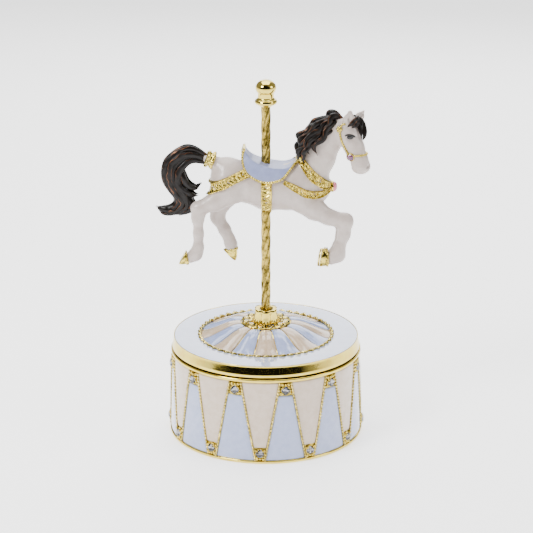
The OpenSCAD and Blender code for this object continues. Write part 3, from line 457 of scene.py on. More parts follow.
class Shell:
    """Collects closed surfaces and makes them one object."""

    def __init__(self) -> None:
        """Starts empty."""
        self.points: list[Array] = []
        self.loops: list[Array] = []
        self.totals: list[Array] = []
        self.uv: list[Array] = []
        self.slots: list[Array] = []
        self.count = 0

    def grid(self, grid: Array, loop: bool = False, slot: int = 0, slots: Array | None = None) -> "Shell":
        """Adds a tube of rings. Its two ends are closed to their middles, unless the last ring meets the first.

        The signed volume, the sum over faces of a corner dotted with the cross product of the next two, tells
        whether the faces point outwards. They are turned round if it is negative.

        Args:
            grid: Rings by points by 3.
            loop: Whether the last ring joins the first.
            slot: Material slot of every face.
            slots: Material slot of each row of faces, in place of slot.

        Returns:
            This shell.
        """
        n, m = grid.shape[:2]
        rows = n if loop else n - 1
        i, j = np.meshgrid(np.arange(rows), np.arange(m), indexing="ij")
        k, l = (i + 1) % n, (j + 1) % m
        quads = np.stack([i * m + j, i * m + l, k * m + l, k * m + j], -1).reshape(-1, 4)
        u0, u1, v0, v1 = i / rows, (i + 1) / rows, j / m, (j + 1) / m
        uv = np.stack([u0, v0, u0, v1, u1, v1, u1, v0], -1).reshape(-1, 4, 2)
        points = grid.reshape(-1, 3)
        which = np.repeat(np.full(rows, slot) if slots is None else np.asarray(slots), m)
        loops, totals, coords, kinds = [quads.ravel()], [np.full(len(quads), 4)], [uv.reshape(-1, 2)], [which]
        turn = np.einsum("ij,ij->i", points[quads[:, 0]], np.cross(points[quads[:, 1]], points[quads[:, 2]]))
        turn += np.einsum("ij,ij->i", points[quads[:, 0]], np.cross(points[quads[:, 2]], points[quads[:, 3]]))
        volume = turn.sum()
        if not loop:
            ends = np.stack([grid[0].mean(0), grid[-1].mean(0)])
            base = n * m
            here = np.arange(m)
            there = (here + 1) % m
            first = np.stack([np.full(m, base), there, here], 1)
            last = np.stack([np.full(m, base + 1), (n - 1) * m + here, (n - 1) * m + there], 1)
            points = np.vstack([points, ends])
            fans = np.vstack([first, last])
            volume += np.einsum("ij,ij->", points[fans[:, 0]], np.cross(points[fans[:, 1]], points[fans[:, 2]]))
            loops.append(fans.ravel())
            totals.append(np.full(len(fans), 3))
            side = np.concatenate([np.zeros(3 * m), np.ones(3 * m)])
            coords.append(np.stack([side, np.tile(np.repeat(here / m, 3), 2)], 1))
            kinds.append(np.full(2 * m, which[0]))
        if volume < 0:
            loops = [a.reshape(-1, t[0])[:, ::-1].ravel() for a, t in zip(loops, totals)]
            coords = [a.reshape(-1, t[0], 2)[:, ::-1].reshape(-1, 2) for a, t in zip(coords, totals)]
        return self.take(points, np.concatenate(loops), np.concatenate(totals), np.vstack(coords),
                         np.concatenate(kinds))

    def take(self, points: Array, loops: Array, totals: Array, uv: Array, slots: Array) -> "Shell":
        """Adds finished faces, given as corner numbers, face sizes, corner coordinates and slots."""
        self.points.append(points)
        self.loops.append(loops + self.count)
        self.totals.append(totals)
        self.uv.append(uv)
        self.slots.append(slots)
        self.count += len(points)
        return self

    def ring_of(self, grid: Array, count: int, first: float = 0.0, slot: int = 0, loop: bool = False) -> "Shell":
        """Adds copies of a surface, evenly spaced about the Z axis from the angle first, in degrees."""
        for i in range(count):
            self.grid(about_z(grid, first + 360.0 * i / count), slot=slot, loop=loop)
        return self

    def make(self, name: str, body: Body, finishes: Sequence[Finish], nodes: Sequence[str] = (), smooth: bool = True,
             levels: int = 0) -> bpy.types.Object:
        """Makes the object, with its place in its mesh, and joins it to its body.

        Args:
            name: The piece's name.
            body: The body that it rides on.
            finishes: One finish for each material slot.
            nodes: The CAD nodes that it stands for.
            smooth: Whether its faces are shaded smooth.
            levels: Subdivision levels, the same in the view and the render.

        Returns:
            The object.
        """
        mesh = bpy.data.meshes.new(name)
        points, loops, totals = np.vstack(self.points) * MM, np.concatenate(self.loops), np.concatenate(self.totals)
        mesh.vertices.add(len(points))
        mesh.vertices.foreach_set("co", points.ravel())
        mesh.loops.add(len(loops))
        mesh.loops.foreach_set("vertex_index", loops.astype(np.int32))
        mesh.polygons.add(len(totals))
        mesh.polygons.foreach_set("loop_start", np.concatenate([[0], np.cumsum(totals)[:-1]]).astype(np.int32))
        mesh.polygons.foreach_set("use_smooth", np.full(len(totals), smooth))
        mesh.polygons.foreach_set("material_index", np.concatenate(self.slots).astype(np.int32))
        mesh.uv_layers.new(name="UVMap").data.foreach_set("uv", np.vstack(self.uv).ravel())
        mesh.update(calc_edges=True)
        mesh.validate()
        for finish in finishes:
            mesh.materials.append(finish.material())
        made = bpy.data.objects.new(name, mesh)
        bpy.context.scene.collection.objects.link(made)
        if levels:
            divide = made.modifiers.new("smooth", "SUBSURF")
            divide.levels = divide.render_levels = levels
        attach(made, body.value)
        if nodes:
            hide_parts(*nodes)
        LOG.info("%s: %d faces", name, len(totals))
        return made


def crown_cut(radius: float, slot_back: int = 1) -> tuple[Array, Array, Array, Array, Array]:
    """A round-cut stone: an eight-sided table, a belt of triangles, a girdle and a pointed back.

    The table is at 0.55 of the radius, and the back is a cone of 16 faces that takes the foil.

    Args:
        radius: Girdle radius.
        slot_back: Material slot of the back.

    Returns:
        Points, corner numbers, face sizes, corner coordinates and slots, with +Z out of the stone.
    """
    table_r, table_z, belt_r, belt_z, point_z = 0.55, 0.42, 0.80, 0.26, -0.30
    a8, a16 = np.arange(8) * TAU / 8, np.arange(16) * TAU / 16
    table = np.stack([table_r * np.cos(a8), table_r * np.sin(a8), np.full(8, table_z)], 1)
    mid = np.stack([belt_r * np.cos(a8 + TAU / 16), belt_r * np.sin(a8 + TAU / 16), np.full(8, belt_z)], 1)
    girdle = np.stack([np.cos(a16), np.sin(a16), np.zeros(16)], 1)
    points = np.vstack([table, mid, girdle, [[0.0, 0.0, point_z]]]) * radius
    faces: list[tuple[int, ...]] = [tuple(range(8))]
    for i in range(8):
        j, g = (i + 1) % 8, 16 + 2 * i
        h, k = 16 + (2 * i + 1) % 16, 16 + (2 * i + 2) % 16
        faces += [(i, 8 + i, j), (i, 8 + (i - 1) % 8, g), (i, g, 8 + i), (8 + i, g, h), (8 + i, h, k)]
    backs = [(32, 16 + (i + 1) % 16, 16 + i) for i in range(16)]
    every = faces + backs
    totals = np.array([len(f) for f in every])
    slots = np.array([0] * len(faces) + [slot_back] * len(backs))
    return points, np.concatenate([np.array(f) for f in every]), totals, np.zeros((totals.sum(), 2)), slots


def stand(points: Array, at: Sequence[float], out: Sequence[float]) -> Array:
    """Stands points made about +Z at a place, with +Z turned to the direction out."""
    z = np.asarray(out, float) / np.linalg.norm(out)
    x = np.cross([0.0, 0.0, 1.0] if abs(z[2]) < 0.9 else [1.0, 0.0, 0.0], z)
    x /= np.linalg.norm(x)
    return points @ np.stack([x, np.cross(z, x), z]) + np.asarray(at, float)


# ------------------------------------------------------------------ drum


@dataclass
class Drum:
    """The drum: its wall, the enamel fields, the twisted wires between them, and two rows of stones."""

    radius: float = 40.0
    draft: float = 0.8
    height: float = 36.0
    wall: float = 2.4
    foot_rim: float = 1.3
    top_rim: float = 1.4
    field_depth: float = 0.8
    enamel: float = 0.5
    ledge: float = 11.0
    ledge_width: float = 1.5
    fields: int = 12
    turn: float = -93.4
    cream_top: float = 14.6
    cream_foot: float = 4.5
    cream_foot_z: float = 6.8
    blue_top_gap: float = 5.7
    wire: float = 1.2
    wire_pitch: float = 1.3
    stone: float = 1.5
    claw_r: float = 1.72
    low_stone_z: float = 4.5
    high_stone_z: float = 31.3
    nip: float = 0.05
    tuck: float = 0.3

    def wall_r(self, z: Array | float) -> Array | float:
        """Radius of the floor of the fields: the outer radius, which narrows evenly with height, less the field's
        depth."""
        return self.radius - self.draft * z / self.height - self.field_depth

    def mid_r(self) -> float:
        """Radius at which widths round the drum are measured."""
        return self.radius - self.draft / 2 - self.field_depth

    def top_z(self) -> float:
        """Height of the underside of the top rim."""
        return self.height - self.top_rim

    def cream_half(self, z: Array) -> Array:
        """Half width of a cream field, which widens evenly with height."""
        share = (z - self.cream_foot_z) / (self.top_z() - self.cream_foot_z)
        return self.cream_foot / 2 + (self.cream_top - self.cream_foot) / 2 * share

    def blue_half(self, z: Array) -> Array:
        """Half width of a blue field: what a cream field and a wire leave of half a pitch."""
        return math.pi * self.mid_r() / self.fields - self.cream_half(z) - self.wire

    def panel(self, half: Callable[[Array], Array], z0: float, z1: float) -> Array:
        """One enamel field. Rows go up; a row goes across the face and back along the wall.

        The thickness is the enamel's depth times the fourth root of (1 - u^8) times that of (1 - v^16), so the
        face is flat in the middle and rolls off to the wires.

        Args:
            half: Half width at a height.
            z0: Lower edge.
            z1: Upper edge.

        Returns:
            The grid. It runs on under the wires by the tuck.
        """
        v = np.linspace(-1, 1, 41)
        v = np.sign(v) * (1 - (1 - np.abs(v)) ** 1.6)
        u = np.sin(np.linspace(-math.pi / 2, math.pi / 2, 25))
        z = z0 + (z1 - z0) * (v + 1) / 2
        thick = np.outer((1 - np.abs(v) ** 16) ** 0.25, (1 - np.abs(u) ** 8) ** 0.25) * self.enamel
        angle = np.outer((half(z) + self.tuck) / self.mid_r(), u)
        front = self.wall_r(z)[:, None] + 0.02 + thick
        back = np.repeat(self.wall_r(z)[:, None], len(u), 1) + 0.01
        a = np.hstack([angle, angle[:, ::-1]])
        r = np.hstack([front, back])
        return np.stack([r * np.cos(a), r * np.sin(a), np.repeat(z[:, None], a.shape[1], 1)], 2)

    def twisted_wire(self, side: int) -> Array:
        """A tightly twisted wire beside a field, which reads as a row of slanting beads.

        Its radius is the wire's width times 0.16 + 0.36 |cos(pi z / pitch + 0.8 sin(angle))|.

        Args:
            side: -1 or 1, the side of a cream field that the wire lies on.

        Returns:
            The grid.
        """
        z = np.linspace(self.foot_rim + 0.1, self.top_z() - 0.1, 230)
        a = side * (self.cream_half(z) + self.wire / 2) / self.mid_r()
        r = self.wall_r(z) + self.enamel
        path = np.stack([r * np.cos(a), r * np.sin(a), z], 1)
        angle = np.arange(8) * TAU / 8
        size = self.wire * (0.16 + 0.36 * np.abs(np.cos(math.pi * z[:, None] / self.wire_pitch + 0.8 * np.sin(angle))))
        return swept(path, size * np.cos(angle), size * np.sin(angle))

    def cup(self, z: float) -> Array:
        """A stone's cup: a turned wall whose lip swells outwards in 12 beads.

        Args:
            z: Height of the cup's middle.

        Returns:
            The grid, standing out of the wall at angle zero.
        """
        r = self.stone
        section = np.array([[0.02, 0.0], [r + 0.6, 0.0], [r + 0.65, 0.35], [r + 0.55, 0.7], [r + 0.50, 0.95],
                            [r + 0.42, 1.04],
                            [r + 0.34, 1.04], [r + 0.30, 0.9], [r - 0.05, 0.55], [0.02, 0.5]])
        grid = turned(section, 48)
        a = np.arange(48) * TAU / 48
        bead = 1 + 0.07 * np.cos(12 * a)[None, :] * ((section[:, 1] > 0.6) & (section[:, 0] > r))[:, None]
        grid[..., :2] *= bead[..., None]
        return stand(grid.reshape(-1, 3), (self.wall_r(z) + 0.02, 0.0, z), (1.0, 0.0, 0.0)).reshape(grid.shape)

    def build(self) -> None:
        """Makes the drum's pieces."""
        r0, top, inner = self.radius, self.top_z(), self.radius - self.draft - self.field_depth - self.wall
        r1 = self.radius - self.draft
        recess = inner + self.ledge_width
        rim = [(recess, 0.25), (recess + 0.25, 0.0), (r0 - 0.45, 0.0), (r0 - 0.12, 0.12), (r0, 0.45),
               (r0 - 0.02, self.foot_rim - 0.3),
               (r0 - 0.12, self.foot_rim - 0.08), (r0 - 0.3, self.foot_rim)]
        fields = [(self.wall_r(self.foot_rim) + 0.1, self.foot_rim + 0.02),
                  (self.wall_r(self.foot_rim + 0.2), self.foot_rim + 0.2),
                  (self.wall_r(18.0), 18.0), (self.wall_r(top - 0.2), top - 0.2), (self.wall_r(top) + 0.1, top - 0.02)]
        upper = [(r1 - 0.3, top), (r1 - 0.1, top + 0.08), (r1, top + 0.3), (r1, self.height - 0.4),
                 (r1 - 0.12, self.height - 0.12),
                 (r1 - 0.4, self.height), (r1 - 0.62, self.height - 0.05), (r1 - 0.72, self.height - 0.6),
                 (inner + 0.2, self.height - 0.6), (inner, self.height - 0.8), (inner, self.ledge),
                 (recess, self.ledge)]
        rows = np.array([0] * len(rim) + [1] * (len(fields)) + [0] * len(upper))
        Shell().grid(turned(rim + fields + upper, 256), loop=True, slots=rows).make(
            "drum_wall", Body.BASE, [GOLD_RIM, GOLD_FIELD], ["drum_shell"])
        lugs = Shell()
        lug = turned([(0.9, self.ledge + 0.5), (3.0, self.ledge + 0.5), (3.0, self.ledge + 8.0),
                      (0.9, self.ledge + 8.0)], 32)
        for angle in (60, 180, 300):
            lugs.grid(about_z(lug + np.array([inner - 2.9, 0.0, 0.0]), angle), loop=True)
        lugs.make("screw_lugs", Body.BASE, [GOLD_FIELD])
        first = self.turn
        half = first + 180.0 / self.fields
        Shell().ring_of(self.panel(self.cream_half, self.cream_foot_z, top - self.nip), self.fields, first).make(
            "cream_fields", Body.BASE, [CREAM], ["cream_panels"])
        Shell().ring_of(self.panel(self.blue_half, self.foot_rim + self.nip, top - self.blue_top_gap), self.fields,
                        half).make(
            "blue_fields", Body.BASE, [BLUE], ["blue_panels"])
        wires = Shell()
        for side in (-1, 1):
            wires.ring_of(self.twisted_wire(side), self.fields, first)
        wires.make("field_wires", Body.BASE, [GOLD_WIRE], ["twisted_wires"])
        stone = crown_cut(self.stone * 1.2)
        for name, z, turn in (("upper", self.high_stone_z, half), ("lower", self.low_stone_z, first)):
            cups = Shell().ring_of(self.cup(z), self.fields, turn, loop=True)
            out = 1 if name == "upper" else -1
            # Four claws hold the stone. Five beads lie round the cup. Each is across, up, radius and how far out.
            corners = [k * math.pi / 2 + 0.785 for k in range(4)]
            beads = [(self.claw_r * math.cos(c), self.claw_r * math.sin(c), 0.36, 1.15) for c in corners]
            beads += [(-1.25, 2.35 * out, 0.72, 0.35), (1.25, 2.35 * out, 0.72, 0.35), (0.0, 2.25 * out, 0.55, 0.6),
                      (-1.9, -1.2 * out, 0.45, 0.4), (1.9, -1.2 * out, 0.45, 0.4)]
            for across, up, size, stands in beads:
                angle = np.linspace(-math.pi / 2 + 0.1, math.pi / 2 - 0.1, 7)
                bead = turned(np.stack([size * np.cos(angle), size * np.sin(angle)], 1), 10)
                spot = (self.wall_r(z) + stands, across, z + up)
                cups.ring_of(stand(bead.reshape(-1, 3), spot, (1.0, 0.0, 0.0)).reshape(bead.shape), self.fields, turn)
            cups.make(f"{name}_cups", Body.BASE, [GOLD_RIM], [f"{name}_stone_cups"])
            stones = Shell()
            for i in range(self.fields):
                placed = stand(stone[0], (self.wall_r(z) + 1.08, 0.0, z), (1.0, 0.0, 0.0))
                stones.take(about_z(placed, turn + 360.0 * i / self.fields), *stone[1:])
            stones.make(f"{name}_crystals", Body.BASE, [CLEAR, FOIL], [f"{name}_stones"], smooth=False)


# ------------------------------------------------------------------ lid and pole


@dataclass
class Lid:
    """The turning lid: a polished band, an enamelled top, a fluted canopy, and a ring of stones round the collar."""

    drum_height: float = 36.0
    gap: float = 0.4
    radius: float = 38.7
    height: float = 5.0
    plate: float = 1.7
    skirt: float = 1.6
    skirt_r: float = 35.5
    skirt_wall: float = 1.2
    enamel: float = 0.5
    lip: float = 0.9
    canopy_r: float = 26.8
    canopy_h: float = 4.9
    crown_r: float = 10.3
    gores: int = 16
    scallops: int = 50
    stones: int = 12
    stone: float = 1.35
    ring_r: float = 8.35
    collar_r: float = 5.6
    collar_h: float = 6.2
    lobes: int = 6

    def foot(self) -> float:
        """Height of the band's lower edge."""
        return self.drum_height + self.gap

    def top(self) -> float:
        """Height of the band's upper edge."""
        return self.foot() + self.height

    def floor(self) -> float:
        """Height of the metal that the enamel lies on."""
        return self.top() - self.enamel

    def crown(self) -> float:
        """Height of the flat on top of the canopy."""
        return self.top() + self.canopy_h

    def canopy_z(self, r: Array) -> Array:
        """The canopy's height: half a cosine wave that falls from the flat at the crown to the lid."""
        share = (r - self.crown_r) / (self.canopy_r - self.crown_r)
        return self.floor() + (self.crown() - self.floor()) * (1 + np.cos(math.pi * share)) / 2

    def gore(self) -> Array:
        """One gore of the canopy: it follows the canopy, and swells in a half ellipse between its two seams.

        The swell is 1.25 sqrt(1 - 0.98 u^2) across, times a sine along the gore that dies away at the outer edge.

        Returns:
            The grid. Rows go outwards; a row goes across the top and back underneath.
        """
        s = np.linspace(0, 1, 33)
        r = self.crown_r + 0.1 + (self.canopy_r - self.crown_r + 0.35) * s
        u = np.sin(np.linspace(-math.pi / 2, math.pi / 2, 17))
        swell = np.outer(0.25 + 0.75 * np.sin(math.pi * np.clip(s * 1.1, 0, 1) * 0.62), np.sqrt(1 - 0.98 * u**2))
        half = math.pi / self.gores - 0.2 / r
        base = np.repeat(self.canopy_z(np.minimum(r, self.canopy_r))[:, None], len(u), 1)
        up = base + 0.06 + 1.25 * swell * (1 - s[:, None] ** 10)
        a = np.hstack([np.outer(half, u), np.outer(half, u)[:, ::-1]])
        z = np.hstack([up, base + 0.02])
        return np.stack([r[:, None] * np.cos(a), r[:, None] * np.sin(a), z], 2)

    def scalloped_wire(self) -> Array:
        """The canopy's edge: a round wire whose path swings out in scallops, with a twist cut into it.

        With w the size of the sine of half the scallop angle, the path's radius is 0.15 less than the canopy's plus
        0.9 w. The section's is (0.2 + 0.55 w) times 0.7 to 1.0 round the twist, so each scallop is fat in its middle.

        Returns:
            The grid.
        """
        a = np.arange(self.scallops * 12) * TAU / (self.scallops * 12)
        wave = np.abs(np.sin(a * self.scallops / 2))
        r = self.canopy_r - 0.15 + 0.9 * wave
        path = np.stack([r * np.cos(a), r * np.sin(a), self.floor() + 0.6 + 0.15 * wave], 1)
        angle = np.arange(12) * TAU / 12
        strand = np.abs(np.cos(angle[None, :] + 3 * a[:, None] * self.scallops / 2))
        radius = (0.2 + 0.55 * wave)[:, None] * (0.7 + 0.3 * strand)
        middle = np.stack([np.cos(a), np.sin(a), np.zeros_like(a)], 1)
        out, up = (radius * np.cos(angle))[..., None], (radius * np.sin(angle))[..., None]
        return path[:, None] + out * middle[:, None] + up * np.array([0, 0, 1.0])

    def collar(self) -> Array:
        """The fluted collar: a cup whose radius is pinched at each seam between two lobes.

        The radius is the profile's times 0.80 + 0.20 * |cos(3 a)| to the power 0.55.

        Returns:
            The grid.
        """
        z0, h = self.crown() + 0.02, self.collar_h
        section = np.array([[2.3, 0.0], [self.collar_r - 0.1, 0.0], [self.collar_r, 0.25], [self.collar_r - 0.05, 0.8],
                            [self.collar_r - 0.45, h * 0.45],
                            [self.collar_r - 0.75, h * 0.8], [self.collar_r - 0.72, h - 0.25],
                            [self.collar_r - 0.95, h], [3.4, h - 0.15], [2.05, h - 0.5]])
        grid = turned(np.stack([section[:, 0], section[:, 1] + z0], 1), 144)
        a = np.arange(144) * TAU / 144
        pinch = 0.80 + 0.20 * np.abs(np.cos((a + math.pi / 2) * self.lobes / 2)) ** 0.55
        outer = np.clip((section[:, 0] - 2.5) / 1.5, 0, 1)[:, None]
        grid[..., :2] *= (1 + (pinch[None, :] - 1) * outer)[..., None]
        return grid

    def build(self) -> None:
        """Makes the lid's pieces."""
        foot, top, floor, crown = self.foot(), self.top(), self.floor(), self.crown()
        under = floor - self.plate
        s, w = self.skirt_r, self.skirt_wall
        r = self.radius
        canopy = [(float(a), float(self.canopy_z(np.array(a)))) for a in np.linspace(self.canopy_r, self.crown_r, 13)]
        profile = [(s - w, under), (s - w, self.drum_height - self.skirt), (s, self.drum_height - self.skirt),
                   (s, foot), (r - 0.5, foot),
                   (r - 0.15, foot + 0.10), (r, foot + 0.5), (r - 0.01, foot + 0.85), (r - 0.045, foot + 1.2),
                   (r - 0.11, foot + 1.5), (r - 0.19, foot + 1.85),
                   (r - 0.28, foot + 2.25), (r - 0.38, foot + 2.7), (r - 0.48, foot + 3.15), (r - 0.58, foot + 3.6),
                   (r - 0.67, foot + 4.0), (r - 0.74, foot + 4.35),
                   (r - 0.77, top - 0.5), (r - 0.70, top - 0.36), (r - 0.66, top - 0.2), (r - 0.70, top - 0.05),
                   (r - 0.78, top),
                   (r - self.lip + 0.02, top - 0.1), (r - self.lip, floor)] + canopy + [
                   (0.02, crown), (0.02, 30.15), (4.3, 30.15), (4.5, 30.35), (4.5, crown - self.plate),
                   (self.crown_r, crown - self.plate),
                   (self.canopy_r - 3, under)]
        Shell().grid(turned(profile, 256), loop=True).make("lid_band", Body.TURNTABLE, [GOLD_RIM], ["lid_shell"])
        inner, outer, e = self.canopy_r + 0.55, r - self.lip - 0.03, floor + 0.02
        ring = [(inner, e), (outer, e), (outer, e + 0.3), (outer - 0.15, e + 0.42), (outer - 0.5, e + 0.45),
                (inner + 0.4, e + 0.45), (inner, e + 0.4)]
        Shell().grid(turned(ring, 256), loop=True).make("lid_field", Body.TURNTABLE, [LID_BLUE_PAINTED_LIT], ["lid_enamel"])
        step = 360.0 / self.gores
        Shell().ring_of(self.gore(), self.gores // 2, -90.0).make("cream_gores", Body.TURNTABLE, [GORE_CREAM],
                                                                  ["canopy_cream_gores"])
        Shell().ring_of(self.gore(), self.gores // 2, -90.0 + step).make("blue_gores", Body.TURNTABLE, [GORE_BLUE],
                                                                         ["canopy_blue_gores"])
        Shell().grid(self.scalloped_wire(), loop=True).make("canopy_edge", Body.TURNTABLE, [GOLD_WIRE], ["canopy_wire"])
        self.stone_ring()
        Shell().grid(self.collar(), loop=True).make("fluted_collar", Body.TURNTABLE, [GOLD_RIM], ["pole_collar"])

    def stone_ring(self) -> None:
        """Makes the ring of settings and the stones in it."""
        z = self.crown() + 0.02
        rings = Shell()
        outline = turned([(self.collar_r - 0.6, z), (self.ring_r + 1.5, z), (self.ring_r + 1.75, z + 0.3),
                          (self.ring_r + 1.5, z + 0.62),
                          (self.ring_r, z + 0.75), (self.collar_r - 0.6, z + 0.75)], 192)
        a = np.arange(192) * TAU / 192
        edge = 1 + 0.035 * np.cos(self.stones * (a + math.pi / 2 - math.pi / self.stones))[None, :]
        outline[1:5, :, :2] *= np.repeat(edge, 4, 0)[..., None]
        rings.grid(outline, loop=True)
        r = self.stone
        cup = turned([(r - 0.25, 0.3), (r + 0.50, 0.3), (r + 0.52, 0.7), (r + 0.42, 0.98), (r + 0.34, 1.0),
                      (r + 0.28, 0.85), (r - 0.1, 0.5)], 32)
        cup[3:6, :, :2] *= (1 + 0.08 * np.cos(8 * np.arange(32) * TAU / 32))[None, :, None]
        step = 360.0 / self.stones
        rings.ring_of(cup + np.array([self.ring_r, 0.0, z]), self.stones, step / 2 - 90.0, loop=True)
        rings.make("stone_settings", Body.TURNTABLE, [GOLD_RIM], ["stone_ring"])
        stones, cut = Shell(), crown_cut(r * 1.22)
        for i in range(self.stones):
            stones.take(about_z(cut[0] + np.array([self.ring_r, 0.0, z + 0.98]), step * (i + 0.5) - 90.0), *cut[1:])
        stones.make("collar_crystals", Body.TURNTABLE, [CLEAR, FOIL], ["ring_stones"], smooth=False)


@dataclass
class Pole:
    """The twisted pole and the finial on it."""

    foot: float = 46.32
    top: float = 139.2
    radius: float = 1.95
    strands: int = 5
    lead: float = 37.0
    ball_r: float = 4.15
    ball_h: float = 6.6
    ring_r: float = 4.5

    def build(self) -> None:
        """Makes the pole and the finial.

        The pole's radius is its size times 1 - 0.30 g^1.1, where g is 1 - |cos(n/2 (a - 2 pi z / lead))|, which
        cuts a right-handed groove between each two strands.
        """
        z = np.linspace(self.foot, self.top, 260)
        a = np.arange(60) * TAU / 60
        groove = 1 - np.abs(np.cos((a[None, :] - TAU * z[:, None] / self.lead) * self.strands / 2))
        r = self.radius * (1 - 0.30 * groove**1.1)
        grid = np.stack([r * np.cos(a), r * np.sin(a), np.repeat(z[:, None], 60, 1)], 2)
        tenon = turned([(1.5, 38.5), (1.5, self.foot + 0.5)], 32)
        Shell().grid(grid).grid(tenon).make("twisted_pole", Body.TURNTABLE, [GOLD_POLE], ["pole"])
        t, ball = self.top, self.top + 3.0
        low = spline([(0.02, t - 1.2), (2.4, t - 1.2), (3.4, t - 0.55), (self.ring_r - 0.15, t + 0.1),
                      (self.ring_r, t + 0.75), (self.ring_r - 0.3, t + 1.4),
                      (3.7, t + 1.75), (3.25, t + 2.3), (3.25, t + 2.9)], 40)
        angle = np.radians(np.linspace(-38, 89.9, 40))
        high = np.stack([self.ball_r * np.cos(angle), ball + self.ball_h / 2 + self.ball_h / 2 * np.sin(angle) * 1.02],
                        1)
        Shell().grid(turned(np.vstack([low, high]), 96)).make("ball_finial", Body.TURNTABLE, [GOLD_RIM], ["finial"])


# ------------------------------------------------------------------ modelled solids


def smooth_min(a: Array, b: Array, k: float) -> Array:
    """The lesser of two fields with their join rounded: min(a, b) - h^2 k / 4, where h is how far k exceeds |a - b|,
    over k."""
    h = np.maximum(k - np.abs(a - b), 0.0) / k
    return np.minimum(a, b) - h * h * k * 0.25


